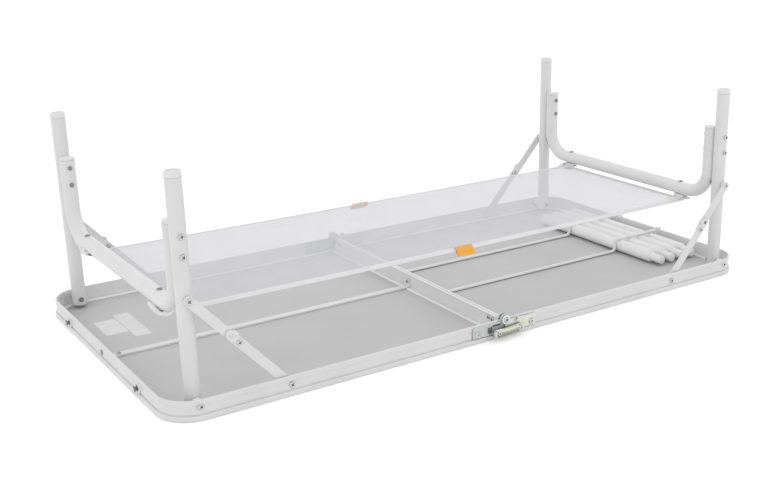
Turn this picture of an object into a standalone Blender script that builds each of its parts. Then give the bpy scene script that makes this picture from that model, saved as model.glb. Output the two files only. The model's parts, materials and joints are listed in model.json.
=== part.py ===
"""Folding camping table with extension legs, lying on its top with its legs up.

The table is a case of two equal halves joined by two pivot hinges. Each half is a board
in an aluminium edge frame and carries a pair of legs tied by a bent stretcher tube.
Folding braces hold the legs open, and a net hangs between the two stretchers.
X runs along the table, Y across it and Z up from the floor that the top rests on.
Pieces are drawn for the +X half and the +Y side, and mirrored to their places.
"""
import math

import bmesh
import bpy
from mathutils import Matrix, Vector

# Driving dimensions, in metres and degrees

TABLE_LENGTH = 1.2
TABLE_WIDTH = 0.6
CORNER_RADIUS = 0.055
FOLD_GAP = 0.001
CLEARANCE = 0.0003

FRAME_HEIGHT = 0.033
FRAME_WALL = 0.0024
BEAD_PROUD = 0.0025
BEAD_HEIGHT = 0.0086
GROOVE_DEPTH = 0.001
GROOVE_WIDTH = 0.0018
BAND_PROUD = 0.0008
BAND_HEIGHT = 0.008
EDGE_BREAK = 0.0012
RAIL_BREAK = 0.0012
LIP_REACH = 0.0036
LIP_THICKNESS = 0.0012
LEDGE_REACH = 0.0096
LEDGE_THICKNESS = 0.0014
BOARD_THICKNESS = 0.0034

STIFFENER_WIDTH = 0.014
STIFFENER_THICKNESS = 0.0015
STIFFENER_TAB_HEIGHT = 0.017

LEG_DIAMETER = 0.025
LEG_WALL_THICKNESS = 0.0015
LEG_SETBACK = 0.047
LEG_INSET = 0.03
LEG_PIVOT_HEIGHT = 0.0225
LEG_LENGTH = 0.3485
LEG_TOE_LENGTH = 0.0125
LEG_SPLAY_DEG = 0.75
PIVOT_BUSH_DIAMETER = 0.016

SOCKET_COLLAR = 0.009
SOCKET_DEPTH = 0.048
SOCKET_BORE = 0.0176

STRETCHER_DIAMETER = 0.026
STRETCHER_REACH = 0.1315
STRETCHER_TOP = 0.2675
STRETCHER_BEND = 0.05

NET_HOOK_INSET = 0.0732
NET_HOOK_WIDTH = 0.024
NET_HOOK_THICKNESS = 0.002
NET_HOOK_REACH = 0.018
NET_HOOK_DROP = 0.0115
NET_OVERHANG = 0.014
NET_THICKNESS = 0.0016
NET_HEM = 0.014
NET_STRAND = 0.004
NET_GAPS_LONG = 10
NET_GAPS_WIDE = 8

BRACE_WIDTH = 0.015
BRACE_THICKNESS = 0.003
BRACE_STANDOFF = 0.0021
BRACE_PLAY = 0.0006
BRACE_FRAME_OFFSET = 0.147
BRACE_FRAME_HEIGHT = 0.0185
BRACE_LEG_REACH = 0.1595
BRACE_LOWER_LENGTH = 0.117
BRACE_TAIL = 0.027
BRACE_STOP_LENGTH = 0.008
BRACE_STOP_THICKNESS = 0.002
BRACE_BOSS_DIAMETER = 0.012

HINGE_PIN_DIAMETER = 0.0052
HINGE_PIN_HEAD_DIAMETER = 0.012
HINGE_PIN_HEAD_HEIGHT = 0.0015
HINGE_RIM_CLEARANCE = 0.0004
HINGE_EYE_RADIUS = 0.009
HINGE_PLATE_THICKNESS = 0.002
HINGE_PLATE_LENGTH = 0.067
HINGE_SHOULDER_X = 0.0115
HINGE_PLATE_MARGIN = 0.0018
HINGE_BOSS_DIAMETER = 0.011
HINGE_RIVET_INSET = 0.01
HINGE_RIVET_LIFT = 0.007

LATCH_THICKNESS = 0.006
LATCH_PIVOT_X = 0.027
LATCH_PIVOT_DIAMETER = 0.005
LATCH_STUD_X = 0.0214
LATCH_STUD_DIAMETER = 0.006
LATCH_HEIGHT = 0.0145
LATCH_END_RADIUS = 0.0075
LATCH_LIP_DEG = 50.0
LATCH_LIP_LENGTH = 0.005
LATCH_EDGE = 0.0016

WIRE_DIAMETER = 0.0062
WIRE_SPACING = 0.147
WIRE_BEND = 0.008
EXTENSION_LENGTH = 0.348
EXTENSION_SHIFT = 0.009
EXTENSION_COUNT = 4
EXTENSION_PITCH = 0.0285
EXTENSION_END_GAP = 0.0155
SPIGOT_DIAMETER = 0.0172
SPIGOT_LENGTH = 0.03
SPIGOT_VENT = 0.005
FOOT_CAP = 0.02

CLOSING_SPACING = 0.34
CLOSING_HEIGHT = 0.0165
STUD_REACH = 0.0105
STUD_NECK_DIAMETER = 0.006
STUD_HEAD_DIAMETER = 0.01
STUD_HEAD_HEIGHT = 0.0045
HOOK_WIDTH = 0.012
HOOK_THICKNESS = 0.002
HOOK_BOSS_DIAMETER = 0.008

HANDLE_SPAN = 0.104
HANDLE_DROP = 0.0233
HANDLE_HEIGHT = 0.028
HANDLE_ROD_DIAMETER = 0.0068
HANDLE_BEND = 0.009
BRACKET_THICKNESS = 0.0015
BRACKET_EAR_WIDTH = 0.009
BRACKET_EAR_SIZE = 0.0094

TUBE_SIDES = 20
ROD_SIDES = 12
ARC_STEPS = 8

# Places that follow from the driving dimensions

HALF_LENGTH = TABLE_LENGTH / 2
HALF_WIDTH = TABLE_WIDTH / 2
FACE_X = FOLD_GAP / 2
END_WALL_IN = HALF_LENGTH - FRAME_WALL
SIDE_WALL_IN = HALF_WIDTH - FRAME_WALL

BOARD_LOW = LIP_THICKNESS + CLEARANCE
BOARD_TOP = BOARD_LOW + BOARD_THICKNESS
LEDGE_LOW = BOARD_TOP + CLEARANCE
LEDGE_TOP = LEDGE_LOW + LEDGE_THICKNESS

LEG_RADIUS = LEG_DIAMETER / 2
LEG_BORE = LEG_RADIUS - LEG_WALL_THICKNESS
LEG_PIVOT_X = HALF_LENGTH - LEG_SETBACK
LEG_Y = HALF_WIDTH - LEG_INSET
SPLAY = math.radians(LEG_SPLAY_DEG)

STRETCHER_RADIUS = STRETCHER_DIAMETER / 2
STRETCHER_ARM_Y = LEG_Y - LEG_RADIUS - STRETCHER_RADIUS - CLEARANCE
STRETCHER_X = LEG_PIVOT_X + STRETCHER_REACH * math.sin(SPLAY)
STRETCHER_Z = LEG_PIVOT_HEIGHT + STRETCHER_REACH * math.cos(SPLAY)

NET_HOOK_Y = STRETCHER_ARM_Y - NET_HOOK_INSET
NET_HALF_WIDTH = NET_HOOK_Y + NET_OVERHANG
NET_HOOK_TIP = STRETCHER_RADIUS + NET_HOOK_DROP - NET_HOOK_THICKNESS
NET_END_X = STRETCHER_X - NET_HOOK_REACH * 0.4
NET_LOW = STRETCHER_Z - NET_HOOK_TIP + NET_HOOK_REACH * math.sin(SPLAY) + 2 * CLEARANCE

BRACE_HALF = BRACE_WIDTH / 2
BRACE_FRAME_X = LEG_PIVOT_X - BRACE_FRAME_OFFSET
BRACE_LEG_X = LEG_PIVOT_X + BRACE_LEG_REACH * math.sin(SPLAY)
BRACE_LEG_Z = LEG_PIVOT_HEIGHT + BRACE_LEG_REACH * math.cos(SPLAY)
BRACE_RUN = BRACE_LEG_X - BRACE_FRAME_X
BRACE_RISE = BRACE_LEG_Z - BRACE_FRAME_HEIGHT
BRACE_ANGLE = math.atan2(BRACE_RISE, BRACE_RUN)
BRACE_UPPER_LENGTH = math.hypot(BRACE_RUN, BRACE_RISE) - BRACE_LOWER_LENGTH
LOWER_ARM_OUT = SIDE_WALL_IN - BRACE_STANDOFF
LOWER_ARM_IN = LOWER_ARM_OUT - BRACE_THICKNESS
UPPER_ARM_OUT = LOWER_ARM_IN - BRACE_PLAY
UPPER_ARM_IN = UPPER_ARM_OUT - BRACE_THICKNESS

HINGE_PIN_RADIUS = HINGE_PIN_DIAMETER / 2
HINGE_AXIS_Z = FRAME_HEIGHT + HINGE_RIM_CLEARANCE
HINGE_PLATE_LOW = BEAD_HEIGHT + HINGE_PLATE_MARGIN
HINGE_PLATE_TOP = FRAME_HEIGHT - HINGE_PLATE_MARGIN
HINGE_RIVET_X = HINGE_PLATE_LENGTH - HINGE_RIVET_INSET
HINGE_RIVET_Z = HINGE_PLATE_LOW + HINGE_RIVET_LIFT
OUTER_SEAT = HALF_WIDTH + BAND_PROUD + CLEARANCE
INNER_SEAT = SIDE_WALL_IN - CLEARANCE
LAYER_PITCH = HINGE_PLATE_THICKNESS + CLEARANCE
LATCH_SEAT = OUTER_SEAT + 2 * LAYER_PITCH
LATCH_FACE = LATCH_SEAT + LATCH_THICKNESS

WIRE_RADIUS = WIRE_DIAMETER / 2
EXTENSION_Z = BOARD_TOP + CLEARANCE + LEG_RADIUS
EXTENSION_LAST_X = END_WALL_IN - EXTENSION_END_GAP - LEG_RADIUS
EXTENSION_FIRST_X = EXTENSION_LAST_X - (EXTENSION_COUNT - 1) * EXTENSION_PITCH

HOOK_LENGTH = 2 * (HINGE_AXIS_Z - CLOSING_HEIGHT)
END_SEAT = HALF_LENGTH + BAND_PROUD + CLEARANCE
HANDLE_ROD_RADIUS = HANDLE_ROD_DIAMETER / 2
HANDLE_X = HALF_LENGTH + BEAD_PROUD + CLEARANCE + HANDLE_ROD_RADIUS

SIDES = {"near": -1, "far": 1}
HALVES = {"left": -1, "right": 1}


# Mesh helpers

def arc(centre, radius, start_deg, end_deg, steps=ARC_STEPS):
    """Points of a round stretch of an outline, both ends included."""
    points = []
    for i in range(steps + 1):
        angle = math.radians(start_deg + (end_deg - start_deg) * i / steps)
        points.append((centre[0] + radius * math.cos(angle), centre[1] + radius * math.sin(angle)))
    return points


def circle(centre, radius, sides=ROD_SIDES):
    return arc(centre, radius, 0, 360 * (sides - 1) / sides, sides - 1)


def loft(rings, closed=False):
    """Skins rings of equal count, capped at both ends or joined end to end."""
    bm = bmesh.new()
    loops = [[bm.verts.new(point) for point in ring] for ring in rings]
    count = len(rings[0])
    pairs = list(zip(loops, loops[1:]))
    if closed:
        pairs.append((loops[-1], loops[0]))
    for first, second in pairs:
        for i in range(count):
            j = (i + 1) % count
            bm.faces.new((first[i], first[j], second[j], second[i]))
    if not closed:
        bm.faces.new(loops[0])
        bm.faces.new(loops[-1])
    return bm


def revolve(profile, sides=TUBE_SIDES):
    """Turns a profile of (radius, z) about Z. It starts and ends on the axis, or closes on itself."""
    bm = bmesh.new()
    rows = []
    for radius, z in profile:
        if radius == 0:
            rows.append([bm.verts.new((0, 0, z))])
            continue
        rows.append([bm.verts.new((x, y, z)) for x, y in circle((0, 0), radius, sides)])
    pairs = list(zip(rows, rows[1:]))
    if profile[0][0] > 0:
        pairs.append((rows[-1], rows[0]))
    for low, high in pairs:
        for i in range(sides):
            j = (i + 1) % sides
            corners = [low[i % len(low)], low[j % len(low)], high[j % len(high)], high[i % len(high)]]
            bm.faces.new(list(dict.fromkeys(corners)))
    return bm


def sweep(path, radius, sides=ROD_SIDES):
    """A round rod along a path of points, with its ends capped."""
    points = [Vector(p) for p in path]
    tangents = []
    for i in range(len(points)):
        before = points[max(i - 1, 0)]
        after = points[min(i + 1, len(points) - 1)]
        tangents.append((after - before).normalized())
    up = tangents[0].orthogonal().normalized()
    rings = []
    for point, tangent in zip(points, tangents):
        up = (up - tangent * up.dot(tangent)).normalized()
        side = tangent.cross(up)
        rings.append([point + up * x + side * y for x, y in circle((0, 0), radius, sides)])
    return loft(rings)


def prism(outline, low, high, holes=()):
    """A flat plate from an outline and round holes in XY, from z = low to z = high."""
    bm = bmesh.new()
    edges = []
    for loop in (outline, *holes):
        verts = [bm.verts.new((x, y, low)) for x, y in loop]
        edges += [bm.edges.new((a, b)) for a, b in zip(verts, verts[1:] + verts[:1])]
    if holes:
        bmesh.ops.triangle_fill(bm, edges=edges, use_beauty=True)
    else:
        bm.faces.new(bm.verts)
    grown = bmesh.ops.extrude_face_region(bm, geom=bm.faces[:])
    moved = [v for v in grown["geom"] if isinstance(v, bmesh.types.BMVert)]
    bmesh.ops.translate(bm, verts=moved, vec=(0, 0, high - low))
    return bm


def box(low, high):
    outline = [(low[0], low[1]), (high[0], low[1]), (high[0], high[1]), (low[0], high[1])]
    return prism(outline, low[2], high[2])


def moved(bm, matrix):
    bmesh.ops.transform(bm, matrix=matrix, verts=bm.verts)
    return bm


def upright(bm):
    """Turns an XY outline with depth Z into an XZ outline with depth Y."""
    return moved(bm, Matrix(((1, 0, 0, 0), (0, 0, 1, 0), (0, 1, 0, 0), (0, 0, 0, 1))))


def endwise(bm):
    """Turns an XY outline with depth Z into a YZ outline with depth X."""
    return moved(bm, Matrix(((0, 0, 1, 0), (1, 0, 0, 0), (0, 1, 0, 0), (0, 0, 0, 1))))


def shift(bm, x=0.0, y=0.0, z=0.0):
    return moved(bm, Matrix.Translation((x, y, z)))


def boolean(first, second, operation):
    """The exact union or difference of two closed shapes."""
    bodies = []
    for bm in (first, second):
        bmesh.ops.recalc_face_normals(bm, faces=bm.faces)
        mesh = bpy.data.meshes.new("operand")
        bm.to_mesh(mesh)
        bm.free()
        body = bpy.data.objects.new("operand", mesh)
        bpy.context.collection.objects.link(body)
        bodies.append(body)
    modifier = bodies[0].modifiers.new("cut", "BOOLEAN")
    modifier.operation = operation
    modifier.solver = "EXACT"
    modifier.object = bodies[1]
    evaluated = bodies[0].evaluated_get(bpy.context.evaluated_depsgraph_get())
    result = bmesh.new()
    result.from_mesh(evaluated.to_mesh())
    for body in bodies:
        bpy.data.objects.remove(body)
    return result


def union(first, *others):
    for other in others:
        first = boolean(first, other, "UNION")
    return first


def material(name, colour, roughness, metallic):
    made = bpy.data.materials.new(name)
    made.use_nodes = True
    shader = made.node_tree.nodes["Principled BSDF"]
    shader.inputs["Base Color"].default_value = (*colour, 1.0)
    shader.inputs["Roughness"].default_value = roughness
    shader.inputs["Metallic"].default_value = metallic
    return made


def axis_empty(name, location, tilt=0.0):
    """An empty on a joint's axis, which carries the pieces that turn there."""
    empty = bpy.data.objects.new(name, None)
    empty.location = location
    empty.rotation_euler = (0, tilt, 0)
    bpy.context.collection.objects.link(empty)
    return empty


def add(name, bm, surface, half=1, side=1, parent=None, edge=0.0):
    """Mirrors a shape drawn for the +X half and +Y side to its place and makes its object."""
    moved(bm, Matrix.Diagonal((half, side, 1, 1)))
    bmesh.ops.recalc_face_normals(bm, faces=bm.faces)
    mesh = bpy.data.meshes.new(name)
    bm.to_mesh(mesh)
    bm.free()
    mesh.materials.append(surface)
    mesh.shade_smooth()
    mesh.set_sharp_from_angle(angle=math.radians(35))
    piece = bpy.data.objects.new(name, mesh)
    bpy.context.collection.objects.link(piece)
    piece.parent = parent
    if edge:
        bevel = piece.modifiers.new("edge", "BEVEL")
        bevel.width = edge
        bevel.segments = 2
        bevel.limit_method = "ANGLE"
        bevel.angle_limit = math.radians(60)
    return piece


# Frame and board

def frame_profile():
    """Section of the edge extrusion as (outward offset from the wall's face, height)."""
    half_break = EDGE_BREAK / 2
    band_low = FRAME_HEIGHT - BAND_HEIGHT
    return [
        (-FRAME_WALL - LIP_REACH, 0),
        (BEAD_PROUD - EDGE_BREAK, 0),
        (BEAD_PROUD, EDGE_BREAK),
        (BEAD_PROUD, BEAD_HEIGHT - EDGE_BREAK),
        (BEAD_PROUD - EDGE_BREAK, BEAD_HEIGHT),
        (-GROOVE_DEPTH, BEAD_HEIGHT),
        (-GROOVE_DEPTH, BEAD_HEIGHT + GROOVE_WIDTH),
        (0, BEAD_HEIGHT + GROOVE_WIDTH + half_break),
        (0, band_low - BAND_PROUD),
        (BAND_PROUD, band_low),
        (BAND_PROUD, FRAME_HEIGHT - EDGE_BREAK),
        (BAND_PROUD - EDGE_BREAK, FRAME_HEIGHT),
        (-FRAME_WALL + half_break, FRAME_HEIGHT),
        (-FRAME_WALL, FRAME_HEIGHT - half_break),
        (-FRAME_WALL, LEDGE_TOP),
        (-FRAME_WALL - LEDGE_REACH, LEDGE_TOP),
        (-FRAME_WALL - LEDGE_REACH, LEDGE_LOW),
        (-FRAME_WALL, LEDGE_LOW),
        (-FRAME_WALL, LIP_THICKNESS),
        (-FRAME_WALL - LIP_REACH, LIP_THICKNESS),
    ]


def edge_frame():
    """The extrusion bent round three sides of one half, open at the fold."""
    corner_x = HALF_LENGTH - CORNER_RADIUS
    corner_y = HALF_WIDTH - CORNER_RADIUS
    stations = [(FACE_X, -corner_y, -90)]
    for i in range(ARC_STEPS + 1):
        stations.append((corner_x, -corner_y, -90 + 90 * i / ARC_STEPS))
    for i in range(ARC_STEPS + 1):
        stations.append((corner_x, corner_y, 90 * i / ARC_STEPS))
    stations.append((FACE_X, corner_y, 90))
    rings = []
    for x, y, degrees in stations:
        angle = math.radians(degrees)
        ring = []
        for offset, z in frame_profile():
            reach = CORNER_RADIUS + offset
            ring.append((x + reach * math.cos(angle), y + reach * math.sin(angle), z))
        rings.append(ring)
    pin = shift(rod_across(HINGE_PIN_RADIUS + CLEARANCE, -TABLE_WIDTH, TABLE_WIDTH), z=HINGE_AXIS_Z)
    return boolean(loft(rings), pin, "DIFFERENCE")


def centre_rail():
    """The straight extrusion that closes one half at the fold."""
    half_break = EDGE_BREAK / 2
    section = [
        (0, 0),
        (FRAME_WALL + LIP_REACH, 0),
        (FRAME_WALL + LIP_REACH, LIP_THICKNESS),
        (FRAME_WALL, LIP_THICKNESS),
        (FRAME_WALL, LEDGE_LOW),
        (FRAME_WALL + LEDGE_REACH, LEDGE_LOW),
        (FRAME_WALL + LEDGE_REACH, LEDGE_TOP),
        (FRAME_WALL, LEDGE_TOP),
        (FRAME_WALL, FRAME_HEIGHT - half_break),
        (FRAME_WALL - half_break, FRAME_HEIGHT),
        (RAIL_BREAK, FRAME_HEIGHT),
        (0, FRAME_HEIGHT - RAIL_BREAK),
    ]
    reach = SIDE_WALL_IN - LEDGE_REACH - CLEARANCE
    return shift(upright(prism(section, -reach, reach)), x=FACE_X)


def board():
    """The half's board, held between the frame's lip and ledge."""
    radius = CORNER_RADIUS - FRAME_WALL - CLEARANCE
    low_x = FACE_X + FRAME_WALL + CLEARANCE
    reach_y = SIDE_WALL_IN - CLEARANCE
    centre_x = HALF_LENGTH - CORNER_RADIUS
    centre_y = HALF_WIDTH - CORNER_RADIUS
    outline = [(low_x, -reach_y)]
    outline += arc((centre_x, -centre_y), radius, -90, 0)
    outline += arc((centre_x, centre_y), radius, 0, 90)
    outline.append((low_x, reach_y))
    return prism(outline, BOARD_LOW, BOARD_TOP)


def stiffener():
    """A flat bar on the board along the middle, with a tab turned up at the rail and the end wall."""
    tab_low = LEDGE_TOP + CLEARANCE
    bar_top = tab_low + STIFFENER_THICKNESS
    tab_top = tab_low + STIFFENER_TAB_HEIGHT
    rail_x = FACE_X + FRAME_WALL + CLEARANCE
    end_x = END_WALL_IN - CLEARANCE
    section = [
        (rail_x, tab_low),
        (rail_x + LEDGE_REACH, tab_low),
        (rail_x + LEDGE_REACH, BOARD_TOP + CLEARANCE),
        (end_x - LEDGE_REACH, BOARD_TOP + CLEARANCE),
        (end_x - LEDGE_REACH, tab_low),
        (end_x, tab_low),
        (end_x, tab_top),
        (end_x - STIFFENER_THICKNESS, tab_top),
        (end_x - STIFFENER_THICKNESS, bar_top),
        (rail_x + STIFFENER_THICKNESS, bar_top),
        (rail_x + STIFFENER_THICKNESS, tab_top),
        (rail_x, tab_top),
    ]
    return upright(prism(section, -STIFFENER_WIDTH / 2, STIFFENER_WIDTH / 2))


# Legs and stretcher, drawn from the leg pivot with Z along the leg

def leg():
    """A tube closed and rounded below its pivot, open at the foot end for its socket."""
    top = LEG_LENGTH - SOCKET_COLLAR - CLEARANCE
    rounding = LEG_RADIUS / 3
    return revolve([
        (0, -LEG_TOE_LENGTH),
        (LEG_RADIUS - rounding, -LEG_TOE_LENGTH),
        (LEG_RADIUS - rounding * 0.3, -LEG_TOE_LENGTH + rounding * 0.3),
        (LEG_RADIUS, -LEG_TOE_LENGTH + rounding),
        (LEG_RADIUS, top),
        (LEG_BORE, top),
        (LEG_BORE, LEG_WALL_THICKNESS - LEG_TOE_LENGTH + rounding),
        (0, LEG_WALL_THICKNESS - LEG_TOE_LENGTH + rounding),
    ])


def foot_socket():
    """A collared plastic sleeve in the leg's open end, bored for an extension's spigot."""
    bore = SOCKET_BORE / 2
    insert = LEG_BORE - CLEARANCE
    collar_low = LEG_LENGTH - SOCKET_COLLAR
    return revolve([
        (bore, LEG_LENGTH - SOCKET_DEPTH),
        (insert, LEG_LENGTH - SOCKET_DEPTH),
        (insert, collar_low),
        (LEG_RADIUS, collar_low),
        (LEG_RADIUS, LEG_LENGTH - EDGE_BREAK),
        (LEG_RADIUS - EDGE_BREAK, LEG_LENGTH),
        (bore, LEG_LENGTH),
    ])


def stretcher():
    """The tube bent to a U that ties the two legs and carries the net."""
    bend_y = STRETCHER_ARM_Y - STRETCHER_BEND
    bend_z = STRETCHER_REACH + STRETCHER_BEND
    route = [(-STRETCHER_ARM_Y, STRETCHER_TOP)]
    route += arc((-bend_y, bend_z), STRETCHER_BEND, 180, 270)
    route += arc((bend_y, bend_z), STRETCHER_BEND, 270, 360)
    route.append((STRETCHER_ARM_Y, STRETCHER_TOP))
    return sweep([(0, y, z) for y, z in route], STRETCHER_RADIUS, TUBE_SIDES)


def net_hook():
    """A bent strip under the stretcher whose lip holds the net's end hem."""
    seat = -STRETCHER_RADIUS - CLEARANCE
    low = -STRETCHER_RADIUS - NET_HOOK_DROP
    stem = -NET_HOOK_REACH * 0.3
    tip = -NET_HOOK_REACH
    section = [
        (-stem, seat),
        (stem, seat),
        (stem, low + NET_HOOK_THICKNESS),
        (tip + NET_HOOK_THICKNESS, low + NET_HOOK_THICKNESS),
        (tip + NET_HOOK_THICKNESS, -NET_HOOK_TIP - CLEARANCE),
        (tip, -NET_HOOK_TIP - CLEARANCE),
        (tip, low),
        (stem + NET_HOOK_THICKNESS, low),
        (stem + NET_HOOK_THICKNESS, seat - NET_HOOK_THICKNESS),
        (-stem, seat - NET_HOOK_THICKNESS),
    ]
    strip = upright(prism(section, -NET_HOOK_WIDTH / 2, NET_HOOK_WIDTH / 2))
    return shift(strip, y=NET_HOOK_Y, z=STRETCHER_REACH)


def half_net():
    """Half of the net from the fold to the stretcher: a hemmed sheet of crossing strands."""
    def strand_edges(low, high, gaps, first, last):
        """Edges of the hems and strands in turn, with equal gaps between."""
        free = high - low - first - last - (gaps - 1) * NET_STRAND
        edges = [low, low + first]
        for i in range(gaps - 1):
            start = edges[-1] + free / gaps
            edges += [start, start + NET_STRAND]
        return edges + [high - last, high]

    columns = strand_edges(CLEARANCE, NET_END_X, NET_GAPS_LONG, NET_STRAND / 2, NET_HEM)
    rows = strand_edges(-NET_HALF_WIDTH, NET_HALF_WIDTH, NET_GAPS_WIDE, NET_HEM, NET_HEM)
    bm = bmesh.new()
    grid = [[bm.verts.new((x, y, NET_LOW)) for y in rows] for x in columns]
    for i in range(len(columns) - 1):
        for j in range(len(rows) - 1):
            if i % 2 and j % 2:
                continue
            bm.faces.new((grid[i][j], grid[i + 1][j], grid[i + 1][j + 1], grid[i][j + 1]))
    grown = bmesh.ops.extrude_face_region(bm, geom=bm.faces[:])
    raised = [v for v in grown["geom"] if isinstance(v, bmesh.types.BMVert)]
    bmesh.ops.translate(bm, verts=raised, vec=(0, 0, NET_THICKNESS))
    return bm


# Braces, drawn from their own pivot with X along the arm

def rod_across(radius, low, high, x=0.0, z=0.0, sides=ROD_SIDES):
    """A short round boss along Y at one point of an XZ drawing."""
    return shift(upright(prism(circle((0, 0), radius, sides), low, high)), x=x, z=z)


def lower_arm():
    """The frame-side arm. It runs past the knee and its edge turns in to stop the upper arm."""
    tail_x = BRACE_LOWER_LENGTH + BRACE_TAIL - BRACE_HALF
    stop_out = BRACE_HALF + CLEARANCE + BRACE_STOP_THICKNESS
    stop_low = tail_x - 1.2 * BRACE_STOP_LENGTH
    stop_high = stop_low + BRACE_STOP_LENGTH
    outline = arc((0, 0), BRACE_HALF, -270, -90)[:-1]
    outline += [(0, -BRACE_HALF)]
    outline += arc((tail_x, 0), BRACE_HALF, -90, 90)
    outline += [(stop_high, BRACE_HALF), (stop_high, stop_out), (stop_low, stop_out), (stop_low, BRACE_HALF)]
    bar = upright(prism(outline, LOWER_ARM_IN, LOWER_ARM_OUT))
    stop = upright(box(
        (stop_low, BRACE_HALF + CLEARANCE, UPPER_ARM_IN),
        (stop_high, stop_out, LOWER_ARM_OUT - BRACE_THICKNESS / 2),
    ))
    boss = rod_across(BRACE_BOSS_DIAMETER / 2, LOWER_ARM_OUT - BRACE_THICKNESS / 2, SIDE_WALL_IN - CLEARANCE)
    return union(bar, stop, boss)


def upper_arm():
    """The leg-side arm, with a boss that stands it off the leg."""
    outline = arc((0, 0), BRACE_HALF, 90, 270)
    outline += arc((BRACE_UPPER_LENGTH, 0), BRACE_HALF, -90, 90)
    bar = upright(prism(outline, UPPER_ARM_IN, UPPER_ARM_OUT))
    boss_low = LEG_Y + LEG_RADIUS + CLEARANCE
    boss = rod_across(BRACE_BOSS_DIAMETER / 2, boss_low, UPPER_ARM_IN + BRACE_THICKNESS / 2)
    return union(bar, boss)


def pivot_bush():
    """The spacer between a leg and the side wall, which starts to curve in beside it."""
    radius = PIVOT_BUSH_DIAMETER / 2
    bend = CORNER_RADIUS - FRAME_WALL
    past_bend = max(LEG_PIVOT_X + radius - HALF_LENGTH + CORNER_RADIUS, 0)
    chord = bend * math.cos(math.radians(45 / ARC_STEPS))
    wall = HALF_WIDTH - CORNER_RADIUS + math.sqrt(chord * chord - past_bend * past_bend)
    bush = rod_across(radius, LEG_Y + LEG_RADIUS + CLEARANCE, wall - CLEARANCE, sides=TUBE_SIDES)
    return shift(bush, x=LEG_PIVOT_X, z=LEG_PIVOT_HEIGHT)


# Hinges and their latches

def plate_outline():
    """A hinge plate along the wall, rising to the eye on the fold axis."""
    eye = (0, HINGE_AXIS_Z)
    chamfer = HINGE_PLATE_MARGIN
    outline = [
        (FACE_X + chamfer, HINGE_PLATE_LOW),
        (HINGE_PLATE_LENGTH, HINGE_PLATE_LOW),
        (HINGE_PLATE_LENGTH, HINGE_PLATE_TOP - chamfer),
        (HINGE_PLATE_LENGTH - chamfer, HINGE_PLATE_TOP),
        (HINGE_SHOULDER_X, HINGE_PLATE_TOP),
    ]
    return outline + arc(eye, HINGE_EYE_RADIUS, 20, 265, 2 * ARC_STEPS)


def hinge_plate(inside, offset):
    """A plate on the wall's outer or inner face. An offset plate stands off on a boss, clear of its mate."""
    hole = circle((0, HINGE_AXIS_Z), HINGE_PIN_RADIUS + CLEARANCE)
    low = LAYER_PITCH if offset else 0.0
    plate = prism(plate_outline(), low, low + HINGE_PLATE_THICKNESS, [hole])
    if offset:
        seat = circle((HINGE_RIVET_X, HINGE_RIVET_Z), HINGE_BOSS_DIAMETER / 2)
        plate = union(plate, prism(seat, 0.0, low + HINGE_PLATE_THICKNESS / 2))
    if not inside:
        depth = 2 * LAYER_PITCH + LATCH_THICKNESS
        if offset:
            post = circle((LATCH_PIVOT_X, LATCH_HEIGHT), LATCH_PIVOT_DIAMETER / 2)
        else:
            post = circle((LATCH_STUD_X, LATCH_HEIGHT), LATCH_STUD_DIAMETER / 2)
        plate = union(plate, prism(post, low + HINGE_PLATE_THICKNESS / 2, depth))
        return shift(upright(plate), y=OUTER_SEAT)
    return shift(moved(upright(plate), Matrix.Diagonal((1, -1, 1, 1))), y=INNER_SEAT)


def hinge_pin():
    """A rivet through the four eyes on one side of the table."""
    high = OUTER_SEAT + 2 * LAYER_PITCH + HINGE_PIN_HEAD_HEIGHT
    low = INNER_SEAT - 2 * LAYER_PITCH - HINGE_PIN_HEAD_HEIGHT
    head = HINGE_PIN_HEAD_DIAMETER / 2
    round_off = HINGE_PIN_HEAD_HEIGHT / 2
    pin = revolve([
        (0, low),
        (head - round_off, low),
        (head, low + round_off),
        (head, low + HINGE_PIN_HEAD_HEIGHT),
        (HINGE_PIN_RADIUS, low + HINGE_PIN_HEAD_HEIGHT),
        (HINGE_PIN_RADIUS, high - HINGE_PIN_HEAD_HEIGHT),
        (head, high - HINGE_PIN_HEAD_HEIGHT),
        (head, high - round_off),
        (head - round_off, high),
        (0, high),
    ], ROD_SIDES)
    return shift(upright(pin), z=HINGE_AXIS_Z)


def latch_lever():
    """The lever that hooks under the mate's stud. Its open notch lets the stud out up its sloping lip."""
    stud = (-LATCH_STUD_X - LATCH_PIVOT_X, 0)
    notch = LATCH_STUD_DIAMETER / 2 + CLEARANCE
    slope = math.radians(180 - LATCH_LIP_DEG)
    foot = (stud[0] - notch * math.sin(slope), stud[1] + notch * math.cos(slope))
    tip = (foot[0] + LATCH_LIP_LENGTH * math.cos(slope), foot[1] + LATCH_LIP_LENGTH * math.sin(slope))
    belly = -LATCH_END_RADIUS
    outline = arc((0, 0), LATCH_END_RADIUS, -90, 80)
    outline += [(stud[0] + notch, notch)]
    outline += arc(stud, notch, 0, -90 - LATCH_LIP_DEG, ARC_STEPS)
    outline += [tip]
    outline += arc((tip[0], stud[1]), notch, 160, 250, 4)
    outline += [(stud[0] + notch, belly - LATCH_EDGE)]
    hole = circle((0, 0), LATCH_PIVOT_DIAMETER / 2 + CLEARANCE)
    return upright(prism(outline, LATCH_SEAT, LATCH_FACE, [hole]))


# Stored extension legs and their wires

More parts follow.
